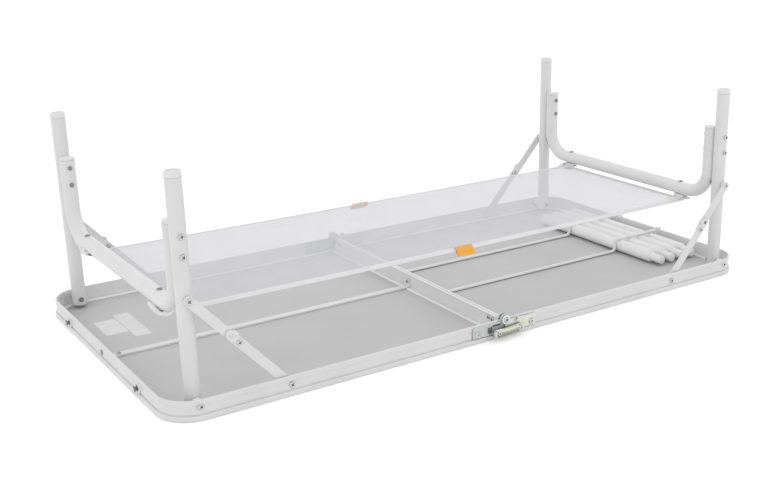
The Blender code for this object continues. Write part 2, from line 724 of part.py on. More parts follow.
def storage_wire():
    """A wire from the rail along the board, up and over the stored legs, down to the end ledge."""
    low = BOARD_TOP + CLEARANCE + WIRE_RADIUS
    high = EXTENSION_Z + LEG_RADIUS + CLEARANCE + WIRE_RADIUS
    start = FACE_X + FRAME_WALL + LEDGE_REACH + CLEARANCE
    rise = EXTENSION_FIRST_X - LEG_RADIUS - 2 * CLEARANCE - WIRE_RADIUS
    fall = EXTENSION_LAST_X + LEG_RADIUS + 2 * CLEARANCE + WIRE_RADIUS
    foot = LEDGE_TOP + CLEARANCE
    route = [(start, low)]
    route += arc((rise - WIRE_BEND, low + WIRE_BEND), WIRE_BEND, -90, 0, 4)
    route += arc((rise + WIRE_RADIUS, high - WIRE_RADIUS), WIRE_RADIUS, 180, 90, 4)
    route += arc((fall - WIRE_RADIUS, high - WIRE_RADIUS), WIRE_RADIUS, 90, 0, 4)
    route += [(fall, foot + WIRE_RADIUS)]
    return shift(sweep([(x, 0, z) for x, z in route], WIRE_RADIUS), y=WIRE_SPACING / 2)


def extension_leg():
    """A stored leg along Y: a tube with a capped foot and a vented spigot for the leg's socket."""
    spigot = SPIGOT_DIAMETER / 2
    half = (EXTENSION_LENGTH + SPIGOT_LENGTH) / 2
    shoulder = SPIGOT_LENGTH - half
    inner = LEG_WALL_THICKNESS - half
    rod = revolve([
        (0, half - FOOT_CAP),
        (LEG_BORE, half - FOOT_CAP),
        (LEG_BORE, shoulder + LEG_WALL_THICKNESS),
        (spigot - LEG_WALL_THICKNESS, shoulder),
        (spigot - LEG_WALL_THICKNESS, inner),
        (SPIGOT_VENT / 2, inner),
        (SPIGOT_VENT / 2, -half),
        (spigot - 2 * EDGE_BREAK, -half),
        (spigot - EDGE_BREAK / 2, -half + EDGE_BREAK / 2),
        (spigot, -half + 2 * EDGE_BREAK),
        (spigot, shoulder - EDGE_BREAK),
        (LEG_RADIUS - EDGE_BREAK, shoulder),
        (LEG_RADIUS, shoulder + EDGE_BREAK),
        (LEG_RADIUS, half - 2 * EDGE_BREAK),
        (LEG_RADIUS - 2 * EDGE_BREAK, half),
        (0, half),
    ])
    return shift(upright(rod), y=-EXTENSION_SHIFT)


# Closing hooks, studs and handle on the end walls

def closing_stud():
    """A headed stud on the end wall that a hook catches when the case is shut."""
    neck = STUD_NECK_DIAMETER / 2
    head = STUD_HEAD_DIAMETER / 2
    seat = BAND_PROUD + CLEARANCE
    under = STUD_REACH - STUD_HEAD_HEIGHT
    stud = revolve([
        (0, CLEARANCE),
        (head, CLEARANCE),
        (head, seat),
        (neck, seat),
        (neck, under),
        (head, under),
        (head, STUD_REACH - EDGE_BREAK),
        (head - EDGE_BREAK, STUD_REACH),
        (0, STUD_REACH),
    ], ROD_SIDES)
    return shift(endwise(stud), x=HALF_LENGTH, y=CLOSING_SPACING / 2, z=CLOSING_HEIGHT)


def closing_hook():
    """A flat hook on the end wall, swung level, with a notch for the other half's stud."""
    half = HOOK_WIDTH / 2
    notch = STUD_NECK_DIAMETER / 2 + CLEARANCE
    outline = arc((0, 0), half, -90, 90)
    outline += [(-HOOK_LENGTH + notch, half)]
    outline += arc((-HOOK_LENGTH, 0), notch, 0, -180)
    outline += [(-HOOK_LENGTH - notch, half / 2)]
    outline += arc((-HOOK_LENGTH, 0), half, 180, 270)
    plate = endwise(prism(outline, END_SEAT, END_SEAT + HOOK_THICKNESS))
    disc = circle((0, 0), HOOK_BOSS_DIAMETER / 2)
    boss = endwise(prism(disc, HALF_LENGTH + CLEARANCE, END_SEAT + HOOK_THICKNESS / 2))
    return shift(union(plate, boss), x=-HALF_LENGTH)


def handle_bracket():
    """A strip on the end wall with two bored ears for the handle."""
    ear_low = HANDLE_SPAN / 2 + HANDLE_ROD_RADIUS + CLEARANCE
    reach = ear_low + BRACKET_EAR_WIDTH
    half = BRACKET_EAR_SIZE / 2
    outer = END_SEAT + BRACKET_THICKNESS
    strip = box((END_SEAT, -reach, HANDLE_HEIGHT - half), (outer, reach, HANDLE_HEIGHT + half))
    bore = HANDLE_ROD_RADIUS + CLEARANCE
    for side in SIDES.values():
        low, high = sorted((side * ear_low, side * reach))
        hole = circle((HANDLE_X, HANDLE_HEIGHT), bore)
        ear = [
            (END_SEAT + BRACKET_THICKNESS / 2, HANDLE_HEIGHT - half),
            (HANDLE_X + half, HANDLE_HEIGHT - half),
            (HANDLE_X + half, HANDLE_HEIGHT + half),
            (END_SEAT + BRACKET_THICKNESS / 2, HANDLE_HEIGHT + half),
        ]
        strip = union(strip, upright(prism(ear, low, high, [hole])))
    return strip


def carry_handle():
    """A bail hanging from the ears along the end wall, drawn from its pivot axis."""
    arm = HANDLE_SPAN / 2
    reach = arm + HANDLE_ROD_RADIUS + BRACKET_EAR_WIDTH
    inner = HANDLE_ROD_RADIUS
    route = [(-reach, 0)]
    route += arc((-arm - inner, -inner), inner, 90, 0, 4)
    route += arc((-arm + HANDLE_BEND, HANDLE_BEND - HANDLE_DROP), HANDLE_BEND, 180, 270, 5)
    route += arc((arm - HANDLE_BEND, HANDLE_BEND - HANDLE_DROP), HANDLE_BEND, 270, 360, 5)
    route += arc((arm + inner, -inner), inner, 180, 90, 4)
    route += [(reach, 0)]
    return sweep([(0, y, z) for y, z in route], HANDLE_ROD_RADIUS)


# Assembly

def build_half(half, sign, surfaces):
    """One half of the case with its legs, braces, hinge plates and half of the net."""
    add(f"{half}_board", board(), surfaces["board"], sign)
    add(f"{half}_edge_frame", edge_frame(), surfaces["frame"], sign)
    add(f"{half}_centre_rail", centre_rail(), surfaces["frame"], sign)
    add(f"{half}_net", half_net(), surfaces["net"], sign)
    legs_axis = axis_empty(f"{half}_leg_axis", (sign * LEG_PIVOT_X, 0, LEG_PIVOT_HEIGHT), sign * SPLAY)
    add(f"{half}_stretcher", stretcher(), surfaces["paint"], sign, 1, legs_axis)
    lower_axis = axis_empty(
        f"{half}_lower_brace_axis", (sign * BRACE_FRAME_X, 0, BRACE_FRAME_HEIGHT), -sign * BRACE_ANGLE
    )
    upper_axis = axis_empty(
        f"{half}_upper_brace_axis", (sign * BRACE_LEG_X, 0, BRACE_LEG_Z), -sign * BRACE_ANGLE
    )
    for side, mirror in SIDES.items():
        name = f"{half}_{side}"
        add(f"{name}_leg", shift(leg(), y=LEG_Y), surfaces["paint"], sign, mirror, legs_axis)
        socket = shift(foot_socket(), y=LEG_Y)
        add(f"{name}_foot_socket", socket, surfaces["plastic"], sign, mirror, legs_axis)
        add(f"{name}_net_hook", net_hook(), surfaces["plastic"], sign, mirror, legs_axis)
        add(f"{name}_pivot_bush", pivot_bush(), surfaces["plastic"], sign, mirror)
        add(f"{name}_lower_brace", lower_arm(), surfaces["paint"], sign, mirror, lower_axis)
        turned = moved(upper_arm(), Matrix.Rotation(math.pi, 4, "Y"))
        add(f"{name}_upper_brace", turned, surfaces["paint"], sign, mirror, upper_axis)
        for place, inside in (("outer", False), ("inner", True)):
            plate = hinge_plate(inside, offset=sign > 0)
            add(f"{name}_{place}_hinge_plate", plate, surfaces["zinc"], sign, mirror)


def build_centre(surfaces):
    """Hinge pins and the latches that lock the halves open."""
    for side, mirror in SIDES.items():
        add(f"{side}_hinge_pin", hinge_pin(), surfaces["zinc"], 1, mirror)
        pivot = axis_empty(f"{side}_latch_axis", (LATCH_PIVOT_X, 0, LATCH_HEIGHT))
        add(f"{side}_latch_lever", latch_lever(), surfaces["latch"], 1, mirror, pivot, LATCH_EDGE)


def build_left_fittings(surfaces):
    add("left_stiffener", stiffener(), surfaces["frame"], -1)
    for side, mirror in SIDES.items():
        add(f"{side}_closing_stud", closing_stud(), surfaces["steel"], -1, mirror)


def build_right_fittings(surfaces):
    """Stored legs, their wires, the closing hooks and the handle."""
    for side, mirror in SIDES.items():
        add(f"{side}_storage_wire", storage_wire(), surfaces["paint"], 1, mirror)
        pivot = axis_empty(
            f"{side}_hook_axis", (HALF_LENGTH, mirror * CLOSING_SPACING / 2, CLOSING_HEIGHT)
        )
        add(f"{side}_closing_hook", closing_hook(), surfaces["steel"], 1, mirror, pivot)
    for i in range(EXTENSION_COUNT):
        piece = shift(extension_leg(), x=EXTENSION_FIRST_X + i * EXTENSION_PITCH, z=EXTENSION_Z)
        add(f"extension_leg_{i + 1}", piece, surfaces["paint"])
    add("handle_bracket", handle_bracket(), surfaces["paint"])
    pivot = axis_empty("handle_axis", (HANDLE_X, 0, HANDLE_HEIGHT))
    add("carry_handle", carry_handle(), surfaces["grip"], 1, 1, pivot)


def main():
    for old in list(bpy.data.objects):
        bpy.data.objects.remove(old)
    surfaces = {
        "frame": material("frame_white", (0.80, 0.80, 0.78), 0.45, 0.0),
        "board": material("board_grey", (0.50, 0.50, 0.50), 0.55, 0.0),
        "paint": material("tube_white", (0.82, 0.82, 0.80), 0.35, 0.0),
        "plastic": material("plastic_white", (0.78, 0.78, 0.76), 0.5, 0.0),
        "zinc": material("zinc_plate", (0.62, 0.66, 0.64), 0.35, 1.0),
        "latch": material("latch_zinc", (0.66, 0.65, 0.55), 0.35, 1.0),
        "steel": material("dark_steel", (0.25, 0.25, 0.25), 0.4, 1.0),
        "grip": material("grip_grey", (0.30, 0.30, 0.31), 0.6, 0.0),
        "net": material("net_white", (0.80, 0.80, 0.84), 0.8, 0.0),
    }
    for half, sign in HALVES.items():
        build_half(half, sign, surfaces)
    build_centre(surfaces)
    build_left_fittings(surfaces)
    build_right_fittings(surfaces)


main()
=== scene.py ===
import json
import math
import bpy
from mathutils import Matrix, Vector


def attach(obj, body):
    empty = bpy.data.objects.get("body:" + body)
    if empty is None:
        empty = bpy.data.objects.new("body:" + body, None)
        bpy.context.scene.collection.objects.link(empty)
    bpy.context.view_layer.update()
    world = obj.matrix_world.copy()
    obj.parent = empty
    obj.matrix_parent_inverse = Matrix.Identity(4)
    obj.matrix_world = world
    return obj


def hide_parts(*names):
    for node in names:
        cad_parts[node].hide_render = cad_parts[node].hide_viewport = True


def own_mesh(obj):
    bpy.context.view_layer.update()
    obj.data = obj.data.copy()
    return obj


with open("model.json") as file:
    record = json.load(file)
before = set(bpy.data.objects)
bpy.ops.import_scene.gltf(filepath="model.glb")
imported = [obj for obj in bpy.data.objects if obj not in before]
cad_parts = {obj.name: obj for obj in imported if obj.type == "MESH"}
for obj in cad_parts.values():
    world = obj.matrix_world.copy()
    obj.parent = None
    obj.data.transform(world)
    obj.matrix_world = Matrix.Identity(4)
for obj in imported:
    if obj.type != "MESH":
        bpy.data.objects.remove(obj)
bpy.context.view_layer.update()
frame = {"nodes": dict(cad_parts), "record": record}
scene = bpy.context.scene

# Places on the solids, in metres

SIDES = {"near": -1, "far": 1}
HALVES = {"left": -1, "right": 1}
LEG_PIVOT = (0.553, 0.0225)
LEG_SPLAY = math.radians(0.75)
LEG_Y = 0.27
LEG_RADIUS = 0.0125
ARM_Y = 0.2442
TUBE_RADIUS = 0.013
ARM_END = 0.2675
CROSS_X = 0.55472
CROSS_Z = 0.15399
HOOK_Y = 0.171
BRACE_PIVOT = (0.406, 0.0185)
BRACE_LEG_REACH = 0.1595
UPPER_ARM_IN = 0.2889
UPPER_ARM_OUT = 0.2919
LOWER_ARM_OUT = 0.2955
KNEE = (0.4848, 0.105)
KNEE_STOP = (0.4966, 0.1179)
WALL_Y = 0.3
HINGE_Z = 0.0334
LEFT_PLATE_Y = 0.3030
RIGHT_PLATE_Y = 0.3053
RAIL_FACE = 0.0028
BOARD_TOP = 0.0049


def on_leg(half, reach):
    """(x, z) at a distance along the leg from its pivot."""
    x = LEG_PIVOT[0] + reach * math.sin(LEG_SPLAY)
    return HALVES[half] * x, LEG_PIVOT[1] + reach * math.cos(LEG_SPLAY)


# Materials, with depths in metres and scales in cycles per metre

SCUFF_SCALE = 60.0
SCUFF_STRETCH = (1, 1, 7)
SCUFF_RANGE = (0.62, 0.74)
SCUFF_TINT = -0.35
# Painted shade where surfaces come near: the range of occlusion it maps, and how much it darkens the colour
CREVICE_SHADE_RANGE = (0.25, 0.8)
CREVICE_SHADE_TINT = -0.9
GLOSS_SPREAD = 0.07
GRAIN_DEPTH = 0.0002
TWIST_SCALE = 3500.0
TWIST_DEPTH = 0.0001
# A wave texture of scale 1 has about this many cycles per metre
WAVE_CYCLES = 3.1416
WAVE_DEPTH = 0.0003


def shader(name):
    """A new material with one principled shader: (material, node tree, shader node)."""
    material = bpy.data.materials.new(name)
    material.use_nodes = True
    tree = material.node_tree
    tree.nodes.clear()
    output = tree.nodes.new("ShaderNodeOutputMaterial")
    principled = tree.nodes.new("ShaderNodeBsdfPrincipled")
    tree.links.new(principled.outputs["BSDF"], output.inputs["Surface"])
    return material, tree, principled


def noise(tree, scale, detail=3.0, stretch=(1, 1, 1)):
    """Noise in object space, in cycles per metre, stretched along the axes."""
    coordinates = tree.nodes.new("ShaderNodeTexCoord")
    mapping = tree.nodes.new("ShaderNodeMapping")
    mapping.inputs["Scale"].default_value = stretch
    texture = tree.nodes.new("ShaderNodeTexNoise")
    texture.inputs["Scale"].default_value = scale
    texture.inputs["Detail"].default_value = detail
    tree.links.new(coordinates.outputs["Object"], mapping.inputs["Vector"])
    tree.links.new(mapping.outputs["Vector"], texture.inputs["Vector"])
    return texture.outputs["Fac"]


def spread(tree, value, low, high, from_low=0.3, from_high=0.7):
    """The value mapped to a range."""
    node = tree.nodes.new("ShaderNodeMapRange")
    node.inputs["From Min"].default_value = from_low
    node.inputs["From Max"].default_value = from_high
    node.inputs["To Min"].default_value = low
    node.inputs["To Max"].default_value = high
    tree.links.new(value, node.inputs["Value"])
    return node.outputs["Result"]


def between(tree, factor, first, second):
    """A colour between two colours, or between the output of another node and a colour."""
    node = tree.nodes.new("ShaderNodeMix")
    node.data_type = "RGBA"
    tree.links.new(factor, node.inputs[0])
    for socket, colour in ((node.inputs[6], first), (node.inputs[7], second)):
        if isinstance(colour, tuple):
            socket.default_value = (*colour, 1)
        else:
            tree.links.new(colour, socket)
    return node.outputs[2]


def tinted(colour, share):
    """The colour made lighter or darker by a share."""
    return tuple(min(1.0, c * (1 + share)) for c in colour)


def finish(name, colour, rough, metal=0.0, vary=0.03, patch=14.0, grain=1500.0, relief=0.08,
           stretch=(1, 1, 1), scuff=0.0, edge=0.0004, crevice_shade=0.3, depth=0.006):
    """A surface with cloudy colour, fine grain, scuffs, painted shade in crevices and near other parts, and
    softened edges.
    """
    material, tree, principled = shader(name)
    cloudy = spread(tree, noise(tree, patch, 4.0), 0, 1)
    tone = between(tree, cloudy, tinted(colour, -vary), tinted(colour, vary))
    if scuff:
        marks = spread(tree, noise(tree, SCUFF_SCALE, 6.0, SCUFF_STRETCH), 0, scuff, *SCUFF_RANGE)
        tone = between(tree, marks, tone, tinted(colour, SCUFF_TINT))
    # Painted shade: within depth, nearby surfaces darken the colour in crevices, recesses, under parts and
    # beside other objects
    crevice = tree.nodes.new("ShaderNodeAmbientOcclusion")
    crevice.samples = 6
    crevice.only_local = False
    crevice.inputs["Distance"].default_value = depth
    shade_mask = spread(tree, crevice.outputs["AO"], crevice_shade, 0.0, *CREVICE_SHADE_RANGE)
    tone = between(tree, shade_mask, tone, tinted(colour, CREVICE_SHADE_TINT))
    tree.links.new(tone, principled.inputs["Base Color"])
    grains = noise(tree, grain, 2.0, stretch)
    gloss = spread(tree, grains, rough - GLOSS_SPREAD, rough + GLOSS_SPREAD)
    tree.links.new(gloss, principled.inputs["Roughness"])
    principled.inputs["Metallic"].default_value = metal
    bevel = tree.nodes.new("ShaderNodeBevel")
    bevel.samples = 4
    bevel.inputs["Radius"].default_value = edge
    bump = tree.nodes.new("ShaderNodeBump")
    bump.inputs["Strength"].default_value = relief
    bump.inputs["Distance"].default_value = GRAIN_DEPTH
    tree.links.new(grains, bump.inputs["Height"])
    tree.links.new(bevel.outputs["Normal"], bump.inputs["Normal"])
    tree.links.new(bump.outputs["Normal"], principled.inputs["Normal"])
    return material


def fibre(name, colour):
    """Matt yarn with a fine twist."""
    material, tree, principled = shader(name)
    cloudy = spread(tree, noise(tree, 25.0, 4.0), 0, 1)
    tone = between(tree, cloudy, tinted(colour, -0.03), tinted(colour, 0.03))
    tree.links.new(tone, principled.inputs["Base Color"])
    twist = noise(tree, TWIST_SCALE, 2.0)
    tree.links.new(spread(tree, twist, 0.65, 0.9), principled.inputs["Roughness"])
    principled.inputs["Sheen Weight"].default_value = 0.1
    bump = tree.nodes.new("ShaderNodeBump")
    bump.inputs["Strength"].default_value = 0.3
    bump.inputs["Distance"].default_value = TWIST_DEPTH
    tree.links.new(twist, bump.inputs["Height"])
    tree.links.new(bump.outputs["Normal"], principled.inputs["Normal"])
    return material


def woven(name, colour, pitch, sheen=0.3, shading=0.25):
    """Cloth with crossed yarns as relief, and painted shade in the dips between them."""
    material, tree, principled = shader(name)
    coordinates = tree.nodes.new("ShaderNodeTexCoord")
    yarns = []
    for direction in ("X", "Y"):
        wave = tree.nodes.new("ShaderNodeTexWave")
        wave.bands_direction = direction
        wave.inputs["Scale"].default_value = 1 / pitch / WAVE_CYCLES
        wave.inputs["Distortion"].default_value = 0.6
        tree.links.new(coordinates.outputs["Object"], wave.inputs["Vector"])
        yarns.append(wave.outputs["Fac"])
    both = tree.nodes.new("ShaderNodeMath")
    both.operation = "MULTIPLY"
    tree.links.new(yarns[0], both.inputs[0])
    tree.links.new(yarns[1], both.inputs[1])
    cloudy = spread(tree, noise(tree, 40.0, 4.0), 0, 1)
    plain = between(tree, cloudy, tinted(colour, -0.04), tinted(colour, 0.04))
    # Painted shade: the colour darkens where the yarns dip, by up to shading
    shade = spread(tree, both.outputs[0], shading, 0.0, 0, 1)
    tree.links.new(between(tree, shade, plain, tinted(colour, -0.3)), principled.inputs["Base Color"])
    tree.links.new(spread(tree, noise(tree, 900.0), 0.7, 0.9), principled.inputs["Roughness"])
    principled.inputs["Sheen Weight"].default_value = sheen
    bump = tree.nodes.new("ShaderNodeBump")
    bump.inputs["Strength"].default_value = 0.5
    bump.inputs["Distance"].default_value = WAVE_DEPTH
    tree.links.new(both.outputs[0], bump.inputs["Height"])
    tree.links.new(bump.outputs["Normal"], principled.inputs["Normal"])
    return material


# Materials made by finish darken their colour within their depth where other surfaces come near: painted
# shade
extruded = finish("extruded_white", (0.775, 0.775, 0.775), 0.42, grain=4.0, stretch=(1, 1, 260), scuff=0.08,
                  crevice_shade=0.08)
enamel = finish("tube_enamel", (0.775, 0.775, 0.775), 0.36, grain=900.0, relief=0.12, scuff=0.06, crevice_shade=0.08)
# A paler copy of the tube enamel for the storage wires: painted light against the tray's shade
lit_wire_enamel = finish("lit_wire_enamel", (0.83, 0.83, 0.83), 0.36, grain=900.0, relief=0.12, crevice_shade=0.03)
# A paler white for the drawn ledge beads and rail lips: painted highlight along their edges
highlight_bead_white = finish("highlight_bead_white", (0.93, 0.93, 0.93), 0.4, grain=2600.0, relief=0.05, crevice_shade=0.03)
# A paler copy of the tube enamel for the stored legs: painted light against the tray's shade
lit_stored_enamel = finish("lit_stored_enamel", (0.85, 0.85, 0.85), 0.36, grain=900.0, relief=0.12, crevice_shade=0.08)
# The board's wide reach paints soft shadow on it beside the walls, rails, wires and stored legs
laminate = finish("board_laminate", (0.575, 0.575, 0.575), 0.55, patch=7.0, grain=2200.0, relief=0.15,
                  crevice_shade=0.42, depth=0.07)
moulded = finish("moulded_white", (0.82, 0.82, 0.815), 0.5, grain=2600.0, relief=0.10, crevice_shade=0.06)
blue_zinc = finish("blue_zinc", (0.595, 0.65, 0.63), 0.38, metal=0.3, vary=0.05, patch=120.0, grain=700.0,
                   stretch=(0.2, 1, 3), scuff=0.25, crevice_shade=0.6)
# The lever's long reach paints shade over its lower half, near the floor and the wall below it
lever_zinc = finish("lever_zinc", (0.75, 0.755, 0.64), 0.36, metal=0.35, vary=0.06, patch=110.0, grain=700.0,
                    stretch=(0.2, 1, 3), scuff=0.3, crevice_shade=0.9, depth=0.034)
gold_zinc = finish("gold_zinc", (0.76, 0.775, 0.685), 0.38, metal=0.3, vary=0.05, patch=110.0, grain=700.0,
                   stretch=(0.2, 1, 3), scuff=0.25, crevice_shade=0.6)
# A paler copy of the blue zinc for the hinge pin's ring: painted highlight
highlight_pin_zinc = finish("highlight_pin_zinc", (0.80, 0.84, 0.82), 0.32, metal=0.3, vary=0.05, patch=160.0, scuff=0.2)
black_steel = finish("black_steel", (0.27, 0.27, 0.265), 0.34, metal=0.8, vary=0.2, patch=160.0, scuff=0.3,
                     crevice_shade=0.6)
bright_steel = finish("bright_steel", (0.60, 0.60, 0.595), 0.22, metal=1.0, vary=0.08, patch=300.0, scuff=0.3,
                      edge=0.0002, crevice_shade=0.9, depth=0.003)
nut_steel = finish("nut_steel", (0.30, 0.30, 0.30), 0.3, metal=1.0, vary=0.1, patch=300.0, scuff=0.3,
                   edge=0.0002, crevice_shade=0.9, depth=0.004)
grip = finish("handle_grip", (0.40, 0.40, 0.405), 0.55, vary=0.1, patch=90.0, grain=1800.0, relief=0.3)
film = finish("blank_film", (0.74, 0.74, 0.74), 0.28, vary=0.05, patch=60.0, grain=3000.0, relief=0.03)
# Dark sheets of painted shade, laid in gaps, the keyhole and recesses
shade_black = finish("dark_shade_sheet", (0.07, 0.073, 0.064), 0.8, vary=0.2, patch=200.0)
shade_grey = finish("grey_shade_sheet", (0.15, 0.155, 0.145), 0.8, vary=0.25, patch=240.0)
yarn = fibre("net_yarn", (0.69, 0.685, 0.73))
webbing = woven("net_webbing", (0.86, 0.855, 0.87), 0.0011)
grey_webbing = woven("net_end_webbing", (0.76, 0.76, 0.77), 0.0011)
orange_cloth = woven("orange_cloth", (0.985, 0.455, 0.066), 0.0012, sheen=0.15, shading=0.1)

SURFACES = {
    "frame_white": extruded,
    "board_grey": laminate,
    "tube_white": enamel,
    "plastic_white": moulded,
    "zinc_plate": blue_zinc,
    "latch_zinc": lever_zinc,
    "dark_steel": black_steel,
    "grip_grey": grip,
    "net_white": yarn,
}
WELD_DISTANCE = 1e-6
SHARP_ANGLE = math.radians(32)


def smoothing():
    """A node group that welds a mesh and shades it smooth apart from its sharp edges."""
    group = bpy.data.node_groups.new("smooth_by_angle", "GeometryNodeTree")
    group.interface.new_socket("Geometry", in_out="INPUT", socket_type="NodeSocketGeometry")
    group.interface.new_socket("Geometry", in_out="OUTPUT", socket_type="NodeSocketGeometry")
    source = group.nodes.new("NodeGroupInput")
    weld = group.nodes.new("GeometryNodeMergeByDistance")
    weld.inputs["Distance"].default_value = WELD_DISTANCE
    faces = group.nodes.new("GeometryNodeSetShadeSmooth")
    faces.domain = "FACE"
    angle = group.nodes.new("GeometryNodeInputMeshEdgeAngle")
    sharp = group.nodes.new("FunctionNodeCompare")
    sharp.operation = "GREATER_THAN"
    sharp.inputs[1].default_value = SHARP_ANGLE
    edges = group.nodes.new("GeometryNodeSetShadeSmooth")
    edges.domain = "EDGE"
    edges.inputs["Shade Smooth"].default_value = False
    target = group.nodes.new("NodeGroupOutput")
    group.links.new(source.outputs[0], weld.inputs["Geometry"])
    group.links.new(weld.outputs["Geometry"], faces.inputs["Geometry"])
    group.links.new(faces.outputs["Geometry"], edges.inputs["Geometry"])
    group.links.new(angle.outputs["Unsigned Angle"], sharp.inputs[0])
    group.links.new(sharp.outputs["Result"], edges.inputs["Selection"])
    group.links.new(edges.outputs["Geometry"], target.inputs[0])
    return group


def dress_solids():
    """Gives every solid its finish and smooth round faces."""
    group = smoothing()
    slots = {s["node"]: s["material_slot"] for s in frame["record"]["subparts"]}
    for name, node in frame["nodes"].items():
        node.data.materials.clear()
        surface = SURFACES[slots[name]]
        if name.startswith("right") and name.endswith("hinge_plate"):
            surface = gold_zinc
        # Storage wires and stored legs take paler enamel: painted light
        if name.endswith("storage_wire"):
            surface = lit_wire_enamel
        if name.startswith("extension_leg"):
            surface = lit_stored_enamel
        node.data.materials.append(surface)
        if "custom_normal" in node.data.attributes:
            node.data.attributes.remove(node.data.attributes["custom_normal"])
        modifier = node.modifiers.new("smooth", "NODES")
        modifier.node_group = group


# Meshes

BAND_EDGE = 0.0004


def piece(name, shape, material, body, sharp=35):
    """A mesh from (points, faces) that rides a body."""
    points, faces = shape
    mesh = bpy.data.meshes.new(name)
    mesh.from_pydata([tuple(p) for p in points], [], faces)
    mesh.update()
    mesh.shade_smooth()
    mesh.set_sharp_from_angle(angle=math.radians(sharp))
    mesh.materials.append(material)
    item = bpy.data.objects.new(name, mesh)
    scene.collection.objects.link(item)
    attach(item, body)
    return item


def joined(shapes):
    """Several shapes as one."""
    points = []
    faces = []
    for some, others in shapes:
        start = len(points)
        points += some
        faces += [tuple(i + start for i in face) for face in others]
    return points, faces


def loft(rings, closed=False):
    """Faces between rings of points, with the ends closed, or with the last ring joined to the first."""
    count = len(rings[0])
    points = [p for ring in rings for p in ring]
    faces = []
    total = len(rings) if closed else len(rings) - 1
    for i in range(total):
        low = i * count
        high = ((i + 1) % len(rings)) * count
        for j in range(count):
            k = (j + 1) % count
            faces.append((low + j, low + k, high + k, high + j))
    if not closed:
        faces.append(tuple(reversed(range(count))))
        faces.append(tuple(range((len(rings) - 1) * count, len(rings) * count)))
    return points, faces


def turned(centre, axis, rings, count=24):
    """Rings of (radius or radius by angle, height) about an axis, from the base up."""
    up = Vector(axis).normalized()
    side = up.orthogonal().normalized()
    if abs(up.y) > 0.9:
        side = Vector((1, 0, 0)) - up * up.x
        side.normalize()
    across = up.cross(side)
    made = []
    for radius, height in rings:
        ring = []
        for i in range(count):
            angle = 2 * math.pi * i / count
            reach = radius(angle) if callable(radius) else radius
            spoke = side * math.cos(angle) + across * math.sin(angle)
            ring.append(Vector(centre) + up * height + spoke * reach)
        made.append(ring)
    return made


def cross(arm, half_width, turn):
    """Radius by angle of a cross-shaped outline."""
    def radius(angle):
        quarter = math.pi / 2
        local = (angle + turn + quarter / 2) % quarter - quarter / 2
        if abs(math.tan(local)) <= half_width / arm:
            return arm / math.cos(local)
        return half_width / abs(math.sin(local))
    return radius


def hexagon(flat):
    """Radius by angle of a hexagon with that distance to its flats."""
    def radius(angle):
        sixth = math.pi / 3
        local = (angle + sixth / 2) % sixth - sixth / 2
        return flat / math.cos(local)
    return radius


def screw(centre, axis, radius, height, turn=0.4):
    """A pan head with a cross recess."""
    recess = cross(radius * 0.56, radius * 0.17, turn)
    floor = cross(radius * 0.44, radius * 0.12, turn)
    rings = [
        (radius * 0.97, 0),
        (radius, height * 0.18),
        (radius * 0.97, height * 0.5),
        (radius * 0.86, height * 0.82),
        (radius * 0.70, height * 0.97),
        (recess, height),
        (floor, height * 0.25),
    ]
    return loft(turned(centre, axis, rings, count=32))


def rivet(centre, axis, radius, height):
    """A rivet with a rolled rim round a dimple."""
    rings = [
        (radius, 0),
        (radius, height * 0.35),
        (radius * 0.88, height * 0.8),
        (radius * 0.66, height),
        (radius * 0.48, height * 0.94),
        (radius * 0.36, height * 0.45),
        (radius * 0.30, height * 0.2),
    ]
    return loft(turned(centre, axis, rings))


def ring(centre, axis, inner, outer, height):
    """A flat ring with rounded edges."""
    edge = min(height, outer - inner) * 0.25
    rings = [
        (inner, 0),
        (outer, 0),
        (outer, height - edge),
        (outer - edge, height),
        (inner + edge, height),
        (inner, height - edge),
    ]
    return loft(turned(centre, axis, rings, count=28), closed=True)


def nut(centre, axis, flat, height):
    """A hexagonal nut with the domed end of its bolt."""
    rings = [
        (hexagon(flat), 0),
        (hexagon(flat), height * 0.8),
        (flat * 0.98, height),
        (flat * 0.62, height),
        (flat * 0.60, height * 1.35),
        (flat * 0.42, height * 1.55),
    ]
    return loft(turned(centre, axis, rings))


def cap(centre, axis, radius, height):
    """A tube's end cap with a rounded rim and a groove above the tube."""
    rings = [
        (radius * 0.93, 0),
        (radius * 0.93, height * 0.14),
        (radius * 1.015, height * 0.18),
        (radius * 1.015, height * 0.7),
        (radius * 0.97, height * 0.93),
        (radius * 0.88, height),
        (radius * 0.30, height * 1.05),
    ]
    return loft(turned(centre, axis, rings, count=32))


def band(edges, thickness):
    """A thin band between pairs of edge points."""
    rings = []
    for i, (first, second) in enumerate(edges):
        here = (Vector(first) + Vector(second)) / 2
        half = (Vector(second) - Vector(first)) / 2
        before = Vector(edges[max(i - 1, 0)][0])
        after = Vector(edges[min(i + 1, len(edges) - 1)][0])
        normal = (after - before).cross(half).normalized() * thickness / 2
        edge = half * max(0.5, 1 - BAND_EDGE / half.length)
        rings.append([here - half, here - edge + normal, here + edge + normal, here + half,
                      here + edge - normal, here - edge - normal])
    return loft(rings)


def strip(path, across, thickness):
    """A band along a path of points, as wide as the vector across."""
    half = Vector(across) / 2
    return band([(Vector(p) - half, Vector(p) + half) for p in path], thickness)


def plate(outline, low, high):
    """An upright prism with softened top edges."""
    middle = Vector((sum(p[0] for p in outline) / len(outline), sum(p[1] for p in outline) / len(outline)))
    inset = []
    for x, y in outline:
        away = (Vector((x, y)) - middle).normalized() * (high - low) * 0.5
        inset.append((x - away.x, y - away.y))
    rings = [
        [Vector((x, y, low)) for x, y in outline],
        [Vector((x, y, (low + high) / 2)) for x, y in outline],
        [Vector((x, y, high)) for x, y in inset],
    ]
    return loft(rings)


